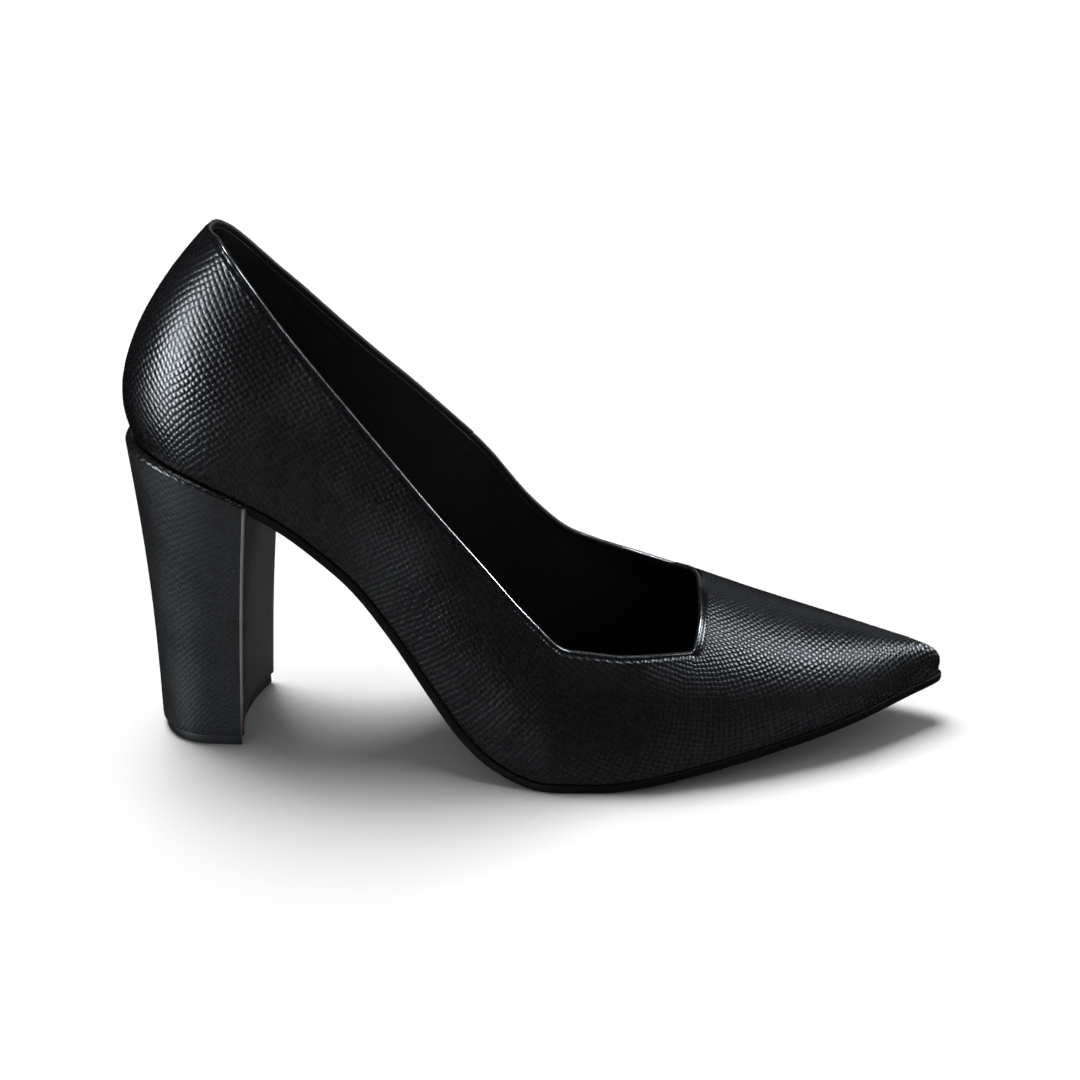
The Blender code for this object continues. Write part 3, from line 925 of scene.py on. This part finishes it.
def flatten_pattern(piece, start, end, back, toe):
    """Lay the sheet out flat as a pattern, in millimetres, with start to end along the first axis.

    back and toe are how wide the grain is there.
    """
    mesh = piece.data
    mesh.uv_layers.new(name=GRAIN_LAYER)
    view = bpy.context.view_layer
    view.objects.active = piece
    piece.select_set(True)
    bpy.ops.object.mode_set(mode="EDIT")
    bpy.ops.mesh.select_all(action="SELECT")
    bpy.ops.uv.unwrap(method="MINIMUM_STRETCH", margin=0.0)
    bpy.ops.object.mode_set(mode="OBJECT")
    piece.select_set(False)
    spots = mesh.uv_layers[GRAIN_LAYER].uv
    found = {}
    real, flat = 0.0, 0.0
    for face in mesh.polygons:
        loops = list(face.loop_indices)
        for a, b in zip(loops, loops[1:] + loops[:1]):
            one, two = mesh.loops[a].vertex_index, mesh.loops[b].vertex_index
            found[one] = spots[a].vector.copy()
            real += (mesh.vertices[one].co - mesh.vertices[two].co).length
            flat += (spots[a].vector - spots[b].vector).length
    if flat == 0.0:
        raise RuntimeError("the upper's pattern could not be laid out flat")
    scale = real / flat / MM
    run = found[end] - found[start]
    turn = Matrix.Rotation(-math.atan2(run.y, run.x), 2)
    for spot in spots:
        spot.vector = turn @ spot.vector * scale
    low = min(spot.vector.x for spot in spots)
    run = max(spot.vector.x for spot in spots) - low
    middle = sum(spot.vector.y for spot in spots) / len(spots)
    for spot in spots:
        share = (spot.vector.x - low) / run
        along = low + run * (share / back + share * share * (1 / toe - 1 / back) / 2)
        spot.vector = (along, middle + (spot.vector.y - middle) * mix(1 / back, 1 / toe, share))


# Materials

def add(tree, kind, inputs=None, **settings):
    """Add a node, set it up, and set or link its inputs."""
    made = tree.nodes.new(kind)
    for name, value in settings.items():
        setattr(made, name, value)
    for socket, value in (inputs or {}).items():
        if isinstance(value, bpy.types.NodeSocket):
            tree.links.new(value, made.inputs[socket])
        else:
            made.inputs[socket].default_value = value
    return made


def blank(name, **sockets):
    """A material with a Principled shader whose plain sockets are set."""
    material = bpy.data.materials.new(name)
    material.use_nodes = True
    tree = material.node_tree
    shader = tree.nodes["Principled BSDF"]
    for socket, value in sockets.items():
        shader.inputs[socket.replace("_", " ")].default_value = value
    return material, tree, shader


def ramp(tree, value, start, end, low, high, soft=True):
    """Map a value from one range to another, clamped."""
    kind = "SMOOTHSTEP" if soft else "LINEAR"
    made = add(tree, "ShaderNodeMapRange", {"Value": value, "From Min": start, "From Max": end,
                                            "To Min": low, "To Max": high}, interpolation_type=kind)
    return made.outputs["Result"]


def sums(tree, operation, one, two):
    """One sum of two values."""
    return add(tree, "ShaderNodeMath", {0: one, 1: two}, operation=operation).outputs[0]


def shade(tone, share):
    """A colour made lighter or darker."""
    return tuple(min(1.0, part * share) for part in tone)


def blend_colours(tree, share, one, two):
    """Mix two colours by a value."""
    made = add(tree, "ShaderNodeMix", {0: share, 6: (*one, 1.0), 7: (*two, 1.0)}, data_type="RGBA")
    return made.outputs[2]


def clouds(tree, spot, scale, detail, **settings):
    """A node of soft noise."""
    return add(tree, "ShaderNodeTexNoise", {"Vector": spot, "Scale": scale, "Detail": detail}, **settings)


def vectors(tree, operation, one, **inputs):
    """One sum of vectors; inputs names the second one or a scale."""
    named = {1 if name == "two" else name: value for name, value in inputs.items()}
    return add(tree, "ShaderNodeVectorMath", {0: one, **named}, operation=operation).outputs


def dressed(made, tone, gloss, height=None, depth=0.0):
    """Link a shader's colour, roughness and bump, and return its material."""
    material, tree, shader = made
    tree.links.new(tone, shader.inputs["Base Color"])
    tree.links.new(gloss, shader.inputs["Roughness"])
    if height is not None:
        bump = add(tree, "ShaderNodeBump", {"Height": height, "Distance": depth, "Strength": 1.0})
        tree.links.new(bump.outputs["Normal"], shader.inputs["Normal"])
    return material


def cell_height(tree, finish, turn):
    """Embossed cells where two families of slanted rows cross, laid out in pattern millimetres."""
    layer = add(tree, "ShaderNodeUVMap", uv_map=GRAIN_LAYER).outputs["UV"]
    drift = clouds(tree, layer, 0.09, 1.0, noise_dimensions="2D").outputs["Color"]
    drift = vectors(tree, "SUBTRACT", drift, two=(0.5, 0.5, 0.5))[0]
    drift = vectors(tree, "SCALE", drift, Scale=1.1)[0]
    spot = vectors(tree, "ADD", layer, two=drift)[0]
    rows = tree.nodes.new("ShaderNodeCombineXYZ")
    for axis, slant in enumerate((finish.rows_up + turn, finish.rows_down + turn)):
        across = Vector((-math.sin(slant), math.cos(slant), 0.0)) * (MM / finish.pitch)
        tree.links.new(vectors(tree, "DOT_PRODUCT", spot, two=across)["Value"], rows.inputs[axis])
    cells = add(tree, "ShaderNodeTexVoronoi",
                {"Vector": rows.outputs[0], "Scale": 1.0, "Randomness": finish.cell_stray},
                voronoi_dimensions="2D", feature="F1")
    reach = cells.outputs["Distance"]
    return ramp(tree, sums(tree, "MULTIPLY", reach, reach), 0.0, 0.38, 1.0, 0.0, soft=False), layer


def embossed_leather(name, finish, turn, deep, crown, rough):
    """Black leather with a small embossed grain, satin on its crowns and painted darker in its hollows as
    painted shade; rough is added where it is plain.
    """
    made = blank(name, Specular_IOR_Level=0.9)
    tree = made[1]
    dome, layer = cell_height(tree, finish, turn)
    pores = clouds(tree, layer, 3.2, 3.0, noise_dimensions="2D").outputs["Fac"]
    patches = clouds(tree, layer, 0.045, 2.0, noise_dimensions="2D").outputs["Fac"]
    plain = add(tree, "ShaderNodeAttribute", attribute_name=PLAIN_LAYER).outputs["Fac"]
    relief = sums(tree, "ADD", sums(tree, "MULTIPLY", dome, 0.94), sums(tree, "MULTIPLY", pores, 0.06))
    relief = sums(tree, "MULTIPLY", relief, ramp(tree, plain, 0.0, 1.0, 1.0, 0.12))
    gloss = sums(tree, "ADD", ramp(tree, dome, 0.0, 1.0, 0.34, 0.2), sums(tree, "MULTIPLY", plain, rough))
    gloss = sums(tree, "ADD", gloss, ramp(tree, patches, 0.3, 0.7, -0.03, 0.05))
    # The colour runs from the dark hollows to the lighter crowns: painted shade in the grooves.
    return dressed(made, blend_colours(tree, dome, deep, crown), gloss, relief, finish.cell_depth)


def fine_leather(name, tone, rough, grain):
    """Smooth leather with fine pores and faint stretch marks."""
    made = blank(name, Specular_IOR_Level=0.55)
    tree = made[1]
    spot = add(tree, "ShaderNodeTexCoord").outputs["Object"]
    pores = add(tree, "ShaderNodeTexVoronoi", {"Vector": spot, "Scale": grain, "Randomness": 1.0})
    folds = clouds(tree, spot, grain * 0.12, 4.0).outputs["Fac"]
    height = sums(tree, "ADD", pores.outputs["Distance"], sums(tree, "MULTIPLY", folds, 1.5))
    gloss = ramp(tree, folds, 0.3, 0.7, rough - 0.02, rough + 0.04)
    return dressed(made, blend_colours(tree, folds, shade(tone, 0.88), shade(tone, 1.15)), gloss, height,
                   0.05 * MM)


def speckled(name, tone, dark, fine, gloss, depth=None, broad=None, **sockets):
    """A plain finish with a fine relief, its colour and gloss drifting with the fine or a broad noise."""
    made = blank(name, **sockets)
    tree = made[1]
    spot = add(tree, "ShaderNodeTexCoord").outputs["Object"]
    relief = clouds(tree, spot, *fine).outputs["Fac"]
    drift = clouds(tree, spot, *broad).outputs["Fac"] if broad else relief
    tones = blend_colours(tree, drift, shade(tone, dark), tone)
    return dressed(made, tones, ramp(tree, drift, 0.3, 0.7, *gloss), relief if depth else None, depth)


def painted_edge(name, tone):
    """Edge paint with slight runs."""
    return speckled(name, tone, 0.7, (420.0, 3.0), (0.45, 0.6), 0.05 * MM, Specular_IOR_Level=0.2)


def glossy_fold(name, tone):
    """Leather stretched smooth and burnished over a folded edge."""
    return speckled(name, tone, 0.7, (700.0, 2.0), (0.24, 0.36), 0.02 * MM, Specular_IOR_Level=1.0,
                    Coat_Weight=1.0, Coat_IOR=2.2, Coat_Roughness=0.14)


def moulded_rubber(name, tone, rough, speck):
    """Matt rubber with a fine speckled skin."""
    return speckled(name, tone, 0.75, (speck, 4.0), (rough - 0.05, rough + 0.08), 0.06 * MM, (60.0, 2.0))


def raw_edge(name, finish):
    """Bare leather fibres, stained at the foot."""
    made = blank(name)
    tree = made[1]
    spot = add(tree, "ShaderNodeTexCoord").outputs["Object"]
    height = add(tree, "ShaderNodeSeparateXYZ", {0: spot}).outputs["Z"]
    fibres = clouds(tree, spot, 900.0, 3.0).outputs["Fac"]
    wobble = sums(tree, "ADD", height, sums(tree, "MULTIPLY", fibres, 6 * MM))
    clean = ramp(tree, wobble, 7 * MM, 22 * MM, 0.0, 1.0)
    return dressed(made, blend_colours(tree, clean, finish.stain, finish.raw),
                   ramp(tree, fibres, 0.2, 0.8, 0.7, 0.9), fibres, 0.12 * MM)


def studio_floor(name, tone):
    """A pale floor with a faint unevenness."""
    return speckled(name, tone, 0.985, (3.0, 2.0), (0.75, 0.85))


# Slabs and rings of the bottom pieces

def bottom_rungs(rear):
    """Places along the bottom from the rear end to the tip, as functions of side, grow and drop."""
    def turned(edge, turn):
        return lambda side, grow, drop: edge(side * turn, grow, drop)

    stations = steps(HEEL_X, TOE_X, STEPS_BOTTOM)
    if rear == "back":
        rungs = [turned(heel_edge, turn) for turn in steps(0.0, math.pi / 2, STEPS_BACK // 2)[1:-1]]
    else:
        start = BREAST_TOP_X + GAP
        stations = [x for x in stations if x > start + REAR_CLEAR]
        rungs = [lambda side, grow, drop, s=share: rear_edge(start, s, side, grow, drop)
                 for share in steps(0.0, 1.0, STEPS_BREAST // 2)[1:-1]]
        rungs.append(lambda side, grow, drop: side_edge(start, side, grow, drop, upright=True))
    rungs += [lambda side, grow, drop, x=x: side_edge(x, side, grow, drop) for x in stations]
    return rungs + [turned(toe_edge, turn) for turn in steps(math.pi / 2, 0.0, STEPS_TOE)[1:-1]]


def ladder_mesh(name, rings, sharp):
    """A closed slab from rings that run across the shoe, one for each rung."""
    work = bmesh.new()
    made = [[work.verts.new(spot) for spot in ring] for ring in rings]
    for one, two in zip(made, made[1:]):
        bridge(work, one, two)
    work.faces.new(made[0])
    work.faces.new(made[-1][::-1])
    bmesh.ops.recalc_face_normals(work, faces=work.faces[:])
    return to_mesh(name, work, sharp)


def foot_ring(inset, z):
    """The heel's outline at the floor: outer front corner, back, inner front corner, breast."""
    half = TIP_HALF - inset
    corner = BREAST_FOOT_X - inset
    reach = TIP_CENTRE_X - TIP_BACK_X - inset
    ring = [Vector((x, -half, z)) for x in steps(corner, TIP_CENTRE_X, STEPS_SEAT)[:-1]]
    for turn in steps(-math.pi / 2, math.pi / 2, STEPS_BACK):
        back, across = rounded(turn, TIP_SQUARE)
        ring.append(Vector((TIP_CENTRE_X - reach * back, half * across, z)))
    ring += [Vector((x, half, z)) for x in steps(TIP_CENTRE_X, corner, STEPS_SEAT)[1:]]
    for y in steps(half, -half, STEPS_BREAST)[1:-1]:
        ring.append(Vector((breast_x(y, half, corner), y, z)))
    for spot in ring:
        spot.y += CENTRE_Y
    return ring


def seat_ring():
    """The heel's outline under the seat, point for point with the floor outline."""
    stations = steps(BREAST_TOP_X, HEEL_X, STEPS_SEAT)
    ring = [side_edge(x, -1, HEEL_PROUD, GAP) for x in stations[:-1]]
    for turn in steps(-math.pi / 2, math.pi / 2, STEPS_BACK):
        grow = mix(HEEL_PROUD, HEEL_PROUD_BACK, math.cos(turn))
        ring.append(heel_edge(turn, grow, GAP))
    ring += [side_edge(x, 1, HEEL_PROUD, GAP) for x in reversed(stations[:-1])]
    for share in steps(1.0, -1.0, STEPS_BREAST)[1:-1]:
        side = 1 if share > 0 else -1
        ring.append(rear_edge(BREAST_TOP_X, abs(share), side, HEEL_PROUD, GAP))
    return ring


EDGE_COUNT = 2 * STEPS_SEAT + STEPS_BACK


def skewed(ring, ahead):
    """Bring the inner front corner of a heel outline forward."""
    moved = [spot.copy() for spot in ring]
    breast = len(ring) - EDGE_COUNT
    for k in range(STEPS_SEAT + 1):
        moved[EDGE_COUNT - STEPS_SEAT + k].x += ahead * (k / STEPS_SEAT) ** 2
    for k in range(1, breast):
        moved[EDGE_COUNT + k].x += ahead * (1 - k / breast)
    return moved


class HeelForm:
    """The heel's outline at any height, with its front corners bevelled."""

    def __init__(self, cut, skew):
        self.low = self.bevelled(skewed(foot_ring(0.0, TOP_PIECE_THICK + GAP), skew), cut)
        self.high = self.bevelled(skewed(seat_ring(), 0.7 * skew), cut)
        self.middle = sum(self.low, Vector()) / len(self.low)

    @staticmethod
    def bevelled(ring, cut):
        """Replace the two front corners by a pair of points each."""
        def towards(corner, other):
            return corner + (other - corner).normalized() * cut

        outer, inner = ring[0], ring[EDGE_COUNT]
        side = [towards(outer, ring[1])] + ring[1:EDGE_COUNT] + [towards(inner, ring[EDGE_COUNT - 1])]
        breast = ring[EDGE_COUNT + 1:]
        return side + [towards(inner, breast[0])] + breast + [towards(outer, breast[-1])]

    def spot(self, k, share, inset=0.0, down=0.0):
        """One point of the outline, pulled in and down."""
        foot, seat = self.low[k], self.high[k]
        share -= down / (seat - foot).length
        spot = foot.lerp(seat, share)
        inward = Vector((self.middle.x - spot.x, self.middle.y - spot.y, 0.0)).normalized()
        return spot + inward * (HEEL_HOLLOW * math.sin(math.pi * share) + inset)

    def ring(self, share, inset=0.0, down=0.0):
        return [self.spot(k, share, inset, down) for k in range(len(self.low))]


def close_pairs(work, ring, first, final):
    """Cap a ring with strips between matching outer and inner points."""
    a, b = first, final
    while b - a > 2:
        work.faces.new((ring[a], ring[a + 1], ring[b - 1], ring[b]))
        a += 1
        b -= 1
    if b - a == 2:
        work.faces.new((ring[a], ring[a + 1], ring[b]))


def ring_mesh(name, rings, sharp, split=None):
    """A closed body from rings of points, floor first, with a pattern layer in millimetres.

    split is the number of points of the side, where a heel's cap is closed in two parts.
    """
    work = bmesh.new()
    layer = work.loops.layers.uv.new(GRAIN_LAYER)
    made = [[work.verts.new(spot) for spot in ring] for ring in rings]
    count = len(made[0])
    middle = rings[len(rings) // 2]
    around = [0.0]
    for k in range(count):
        around.append(around[-1] + (middle[(k + 1) % count] - middle[k]).length)
    up = [0.0]
    for one, two in zip(rings, rings[1:]):
        up.append(up[-1] + (two[0] - one[0]).length)
    for r, (one, two) in enumerate(zip(made, made[1:])):
        for k, face in enumerate(bridge(work, one, two)):
            spots = ((k, r), (k + 1, r), (k + 1, r + 1), (k, r + 1))
            for loop, (a, b) in zip(face.loops, spots):
                loop[layer].uv = (-around[a] / MM, up[b] / MM)
    if split:
        close_pairs(work, made[-1], 0, split - 1)
        front = made[-1][split:] + [made[-1][0]]
        work.faces.new([made[-1][split - 1]] + front)
    else:
        work.faces.new(made[-1])
    work.faces.new(made[0][::-1])
    bmesh.ops.recalc_face_normals(work, faces=work.faces[:])
    return to_mesh(name, work, sharp)


def settings(context):
    """The sizes and finishes that a piece is made with."""
    return context.scene.shoe_sizes, context.scene.shoe_finishes


class SHOE_OT_upper(Operator):
    """Make the embossed leather upper, folded in at the collar and tucked under at the sole"""

    bl_idname = "shoe.upper"
    bl_label = "Leather upper"

    def execute(self, context):
        sizes, finish = settings(context)
        sheet = SkinSheet(sizes, sizes.fold_round)
        for fact in sheet.facts:
            if fact.vert.is_valid:
                fact.vert[sheet.plain] = plain_share(fact, sizes)
        sheet.push(lambda fact: band_relief(fact, sizes) + seam_relief(fact.past, sizes.seam_lap)
                   + pucker_at(fact) + swell_at(fact.vert.co, sizes.swell))
        feather_loop, collar_loop = sheet.open_loops()
        sheet.roll(collar_loop, sizes.fold_round, math.pi, STEPS_FOLD,
                   tail=steps(0.0, sizes.turn_in, 4)[1:], plain=FOLD_PLAIN, slots=(1, 2))
        sheet.roll(feather_loop, sizes.tuck_round, TUCK_TURN, STEPS_TUCK)
        sheet.mark_seam()
        sheet.work.verts.index_update()
        toe, back = [sheet.columns[STEPS_TOE + k][ROWS_LOW].index for k in (4, 20)]
        material = embossed_leather("embossed_leather", finish, 0.0, finish.leather_hollow_shade, finish.leather,
                                    rough=-0.12)
        mesh = to_mesh("leather_upper", sheet.work)
        piece = keep_piece("leather_upper", mesh, "upper", material)
        mesh.materials.append(glossy_fold("collar_fold", finish.leather))
        mesh.materials.append(fine_leather("collar_turn_in", finish.leather, rough=0.55, grain=1500.0))
        flatten_pattern(piece, back, toe, finish.widen_back, finish.widen_toe)
        thicken(piece, sizes.skin, -1.0)
        return {"FINISHED"}


class SHOE_OT_lining(Operator):
    """Make the lining that covers the folded edge inside the upper"""

    bl_idname = "shoe.lining"
    bl_label = "Lining"

    def execute(self, context):
        sizes, finish = settings(context)
        shallow = 2 * sizes.fold_round + LINING_CLEAR
        deep = WALL - sizes.lining_thick
        sheet = SkinSheet(sizes, sizes.lining_inset)
        sheet.push(lambda fact: -mix(deep, shallow, hump(fact.edge / LINING_EASE))
                   - 0.5 * seam_relief(fact.past, sizes.seam_lap))
        material = fine_leather("lining_leather", finish.lining, rough=0.42, grain=1500.0)
        piece = keep_piece("lining", to_mesh("lining", sheet.work), None, material)
        thicken(piece, sizes.lining_thick, -1.0)
        return {"FINISHED"}


class SHOE_OT_sock(Operator):
    """Make the sock that covers the insole, slightly crowned and rounded at its edge"""

    bl_idname = "shoe.sock"
    bl_label = "Sock"

    def execute(self, context):
        sizes, finish = settings(context)
        arc = [(-INSOLE_INSET - inward, drop - INSOLE_THICK)
               for drop, inward in quarter_round(SOCK_ROUND, 3)]
        rings = []
        for rung in bottom_rungs("back"):
            outer_round = [rung(-1, grow, drop) for grow, drop in reversed(arc)]
            inner_round = [rung(1, grow, drop) for grow, drop in arc]
            top = []
            for share in steps(0.0, 1.0, STEPS_ACROSS)[1:-1]:
                spot = outer_round[-1].lerp(inner_round[0], share)
                spot.z += sizes.sock_crown * hump(2 * share - 1)
                top.append(spot)
            under = [rung(1, -INSOLE_INSET, 0.0), rung(-1, -INSOLE_INSET, 0.0)]
            rings.append(outer_round + top + inner_round + under)
        material = fine_leather("sock_leather", finish.lining, rough=0.5, grain=1300.0)
        keep_piece("sock", ladder_mesh("sock", rings, 50), "insole", material)
        return {"FINISHED"}


class SHOE_OT_outsole(Operator):
    """Make the outsole with a rounded, painted edge"""

    bl_idname = "shoe.outsole"
    bl_label = "Outsole"

    def execute(self, context):
        sizes, finish = settings(context)
        curve = sizes.sole_round
        lift = GAP - SOLE_SINK
        proud = sizes.sole_proud
        rim = [(proud - 5 * SOLE_BROW, -lift), (proud - SOLE_BROW, -lift),
               (proud - 0.3 * SOLE_BROW, 0.3 * SOLE_BROW - lift), (proud, SOLE_BROW - lift)]
        rim += [(proud - inward, SOLE_THICK - up) for inward, up in quarter_round(curve, 5)]
        rim.append((proud - curve - SOLE_FLAT, SOLE_THICK))
        rings = []
        rungs = bottom_rungs("breast")
        for n, rung in enumerate(rungs):
            tip = sizes.sole_tip * max(0.0, 1 - (len(rungs) - n) / STEPS_TOE)
            outer = [rung(-1, grow + tip, GAP + drop) for grow, drop in rim]
            inner = [rung(1, grow + tip, GAP + drop) for grow, drop in rim]
            rings.append(outer + inner[::-1])
        mesh = ladder_mesh("outsole_tread", rings, 60)
        edge = painted_edge("sole_edge_paint", finish.sole)
        keep_piece("sole", mesh, "outsole", edge)
        mesh.materials.append(moulded_rubber("sole_tread", finish.tread, rough=0.55, speck=1500.0))
        for face in mesh.polygons:
            low = face.normal.z < -0.5 and face.area > TREAD_FACE
            face.material_index = 1 if low else 0
        return {"FINISHED"}


class SHOE_OT_heel_cover(Operator):
    """Make the heel with its leather cover, rolled at the rim"""

    bl_idname = "shoe.heel_cover"
    bl_label = "Heel cover"

    def execute(self, context):
        sizes, finish = settings(context)
        form = HeelForm(sizes.cut_edge, sizes.breast_skew)
        rings = [form.ring(0.0, inward, -up) for up, inward in quarter_round(HEEL_FOOT_ROUND, 3)[:-1]]
        rings += [form.ring(share) for share in steps(*COVER_SPAN, RINGS_HEEL)]
        rings += [form.ring(1.0, inward, down)
                  for inward, down in quarter_round(sizes.rim_round, STEPS_RIM)]
        # The heel's colours stand lighter than the upper's: a painted reflection of the floor.
        material = embossed_leather("heel_leather", finish, finish.rows_heel, finish.heel_hollow_shade_and_sheen, finish.heel,
                                    rough=0.28)
        mesh = ring_mesh("heel_cover", rings, 50, split=EDGE_COUNT + 1)
        flatness = mesh.attributes.new(PLAIN_LAYER, "FLOAT", "POINT")
        rim = len(mesh.vertices) - STEPS_RIM * len(rings[0])
        for vert in mesh.vertices:
            flatness.data[vert.index].value = finish.heel_flat if vert.index < rim else 0.0
        keep_piece("heel_cover", mesh, "heel", material)
        return {"FINISHED"}


class SHOE_OT_heel_front(Operator):
    """Make the heel's smooth front panel and the cut edges of its cover"""

    bl_idname = "shoe.heel_front"
    bl_label = "Heel front"

    def execute(self, context):
        sizes, finish = settings(context)
        form = HeelForm(sizes.cut_edge, sizes.breast_skew)
        count = len(form.low)
        panel = list(range(EDGE_COUNT + 1, count))
        edges = {"inner": [EDGE_COUNT, EDGE_COUNT + 1], "outer": [count - 1, 0]}
        # The front panel's colour is partly its own warm grey, partly painted light for lamps that miss it.
        smooth_leather = fine_leather("breast_leather_painted_light", finish.breast, rough=0.5, grain=1100.0)
        self.strip("heel_breast", form, panel, PANEL_SPAN, sizes.breast_skin, smooth_leather)
        fibres = raw_edge("cut_edge", finish)
        for side, points in edges.items():
            self.strip("cover_cut_edge_" + side, form, points, CUT_SPAN, sizes.breast_skin, fibres)
        return {"FINISHED"}

    @staticmethod
    def strip(name, form, points, span, thickness, material):
        """A thin strip on part of the heel's outline, from foot to rim."""
        work = bmesh.new()
        rows = [[work.verts.new(form.spot(k, share)) for k in reversed(points)]
                for share in steps(*span, RINGS_HEEL)]
        for one, two in zip(rows, rows[1:]):
            bridge(work, one, two, closed=False)
        piece = keep_piece(name, to_mesh(name, work), None, material)
        thicken(piece, thickness, 1.0)


class SHOE_OT_top_piece(Operator):
    """Make the rubber top piece under the heel"""

    bl_idname = "shoe.top_piece"
    bl_label = "Top piece"

    def execute(self, context):
        sizes, finish = settings(context)
        arc = quarter_round(sizes.tip_round, 3)
        rings = [foot_ring(TOP_PIECE_INSET + inward, up) for up, inward in arc]
        rings += [foot_ring(TOP_PIECE_INSET + inward, TOP_PIECE_THICK - down) for inward, down in arc]
        rings = [skewed(ring, sizes.breast_skew) for ring in rings]
        material = moulded_rubber("top_piece_rubber", finish.rubber, rough=0.5, speck=1800.0)
        mesh = ring_mesh("heel_top_piece", rings, 50)
        keep_piece("heel_top_piece", mesh, "top_piece", material)
        return {"FINISHED"}


class SHOE_OT_stage(Operator):
    """Set up the floor, the studio light and the camera"""

    bl_idname = "shoe.stage"
    bl_label = "Stage"

    def execute(self, context):
        stage = context.scene.shoe_stage
        finish = context.scene.shoe_finishes
        self.floor(finish)
        self.world(stage.sky)
        context.scene.view_settings.view_transform = "Standard"
        # Name, way from the shoe, size, degrees about the beam, power
        lamps = (
            ("key_lamp", (-0.20, 0.25, 0.95), (3.0, 3.0), 0, stage.key_power),
            ("top_lamp", (0.66, -0.04, 0.75), (1.8, 1.6), 0, stage.top_power),
            ("side_lamp", (-0.826, -0.557, 0.087), (1.7, 3.4), 30, stage.side_power),
            ("back_lamp", (0.10, 0.90, 0.38), (5.0, 4.0), 0, stage.back_power),
            ("edge_lamp", (0.08, -0.03, 1.0), (1.0, 1.0), 0, stage.edge_power),
            ("rim_lamp", (0.85, 0.45, 0.27), (1.0, 1.0), 0, stage.rim_power),
            ("floor_glow", (0.0, -0.616, -0.788), (9.0, 6.0), 0, stage.glow_power),
            ("toe_glow", (0.78, -0.57, -0.26), (4.0, 4.0), 0, stage.toe_power),
        )
        for name, way, size, roll, strength in lamps:
            lamp = self.lamp(name, Vector(way), size, strength, math.radians(roll))
            if name == "key_lamp":
                lamp.visible_glossy = False
            else:
                lamp.visible_diffuse = False
                lamp.data.color = stage.lamp_tone
        self.camera(stage)
        return {"FINISHED"}

    @staticmethod
    def floor(finish):
        work = bmesh.new()
        bmesh.ops.create_grid(work, x_segments=8, y_segments=8, size=FLOOR_HALF)
        mesh = to_mesh("studio_floor", work)
        mesh.materials.append(studio_floor("studio_floor", finish.floor))
        floor = bpy.data.objects.new("studio_floor", mesh)
        bpy.context.scene.collection.objects.link(floor)
        floor.visible_glossy = False
        floor.visible_shadow = False

    @staticmethod
    def world(strength):
        sky = bpy.data.worlds.new("studio")
        sky.use_nodes = True
        ground = sky.node_tree.nodes["Background"]
        ground.inputs["Color"].default_value = (1.0, 1.0, 1.0, 1.0)
        ground.inputs["Strength"].default_value = strength
        bpy.context.scene.world = sky
        sky.cycles_visibility.glossy = False

    @staticmethod
    def lamp(name, way, size, strength, roll):
        """A soft lamp that looks at the middle of the shoe, turned about its own beam."""
        data = bpy.data.lights.new(name, "AREA")
        data.shape = "RECTANGLE"
        data.size, data.size_y = size
        data.energy = strength
        lamp = bpy.data.objects.new(name, data)
        bpy.context.scene.collection.objects.link(lamp)
        lamp.location = LAMP_AIM + way.normalized() * LAMP_AWAY
        lamp.rotation_euler = (way.to_track_quat("Z", "Y") @ Quaternion((0, 0, 1), roll)).to_euler()
        return lamp

    @staticmethod
    def camera(stage):
        tilt = math.pi / 2 - stage.elevation
        turn = (Matrix.Rotation(stage.azimuth, 4, "Z") @ Matrix.Rotation(tilt, 4, "X")
                @ Matrix.Rotation(stage.roll, 4, "Z"))
        data = bpy.data.cameras.new("camera")
        data.sensor_width = 36.0
        data.lens = stage.lens
        data.clip_start = 0.05
        camera = bpy.data.objects.new("camera", data)
        bpy.context.scene.collection.objects.link(camera)
        away = Matrix.Translation((0.0, 0.0, stage.distance))
        camera.matrix_world = Matrix.Translation(stage.target) @ turn @ away
        bpy.context.scene.camera = camera


class SHOE_PT_sidebar(Panel):
    """Lists the pieces of the shoe in the sidebar"""

    bl_idname = "SHOE_PT_sidebar"
    bl_label = "Court shoe"
    bl_space_type = "VIEW_3D"
    bl_region_type = "UI"
    bl_category = "Shoe"

    def draw(self, context):
        for operator in PIECES:
            self.layout.operator(operator.bl_idname)


SETTINGS = {"shoe_sizes": ShoeSizes, "shoe_finishes": ShoeFinishes, "shoe_stage": ShoeStage}
PIECES = (SHOE_OT_upper, SHOE_OT_lining, SHOE_OT_sock, SHOE_OT_outsole, SHOE_OT_heel_cover,
          SHOE_OT_heel_front, SHOE_OT_top_piece, SHOE_OT_stage)
CLASSES = tuple(SETTINGS.values()) + PIECES + (SHOE_PT_sidebar,)


def register():
    for made in CLASSES:
        bpy.utils.register_class(made)
    for name, group in SETTINGS.items():
        setattr(bpy.types.Scene, name, PointerProperty(type=group))


def unregister():
    for name in SETTINGS:
        delattr(bpy.types.Scene, name)
    for made in reversed(CLASSES):
        bpy.utils.unregister_class(made)


def main():
    register()
    bpy.ops.shoe.upper()
    bpy.ops.shoe.lining()
    bpy.ops.shoe.sock()
    bpy.ops.shoe.outsole()
    bpy.ops.shoe.heel_cover()
    bpy.ops.shoe.heel_front()
    bpy.ops.shoe.top_piece()
    bpy.ops.shoe.stage()


if __name__ == "__main__":
    main()
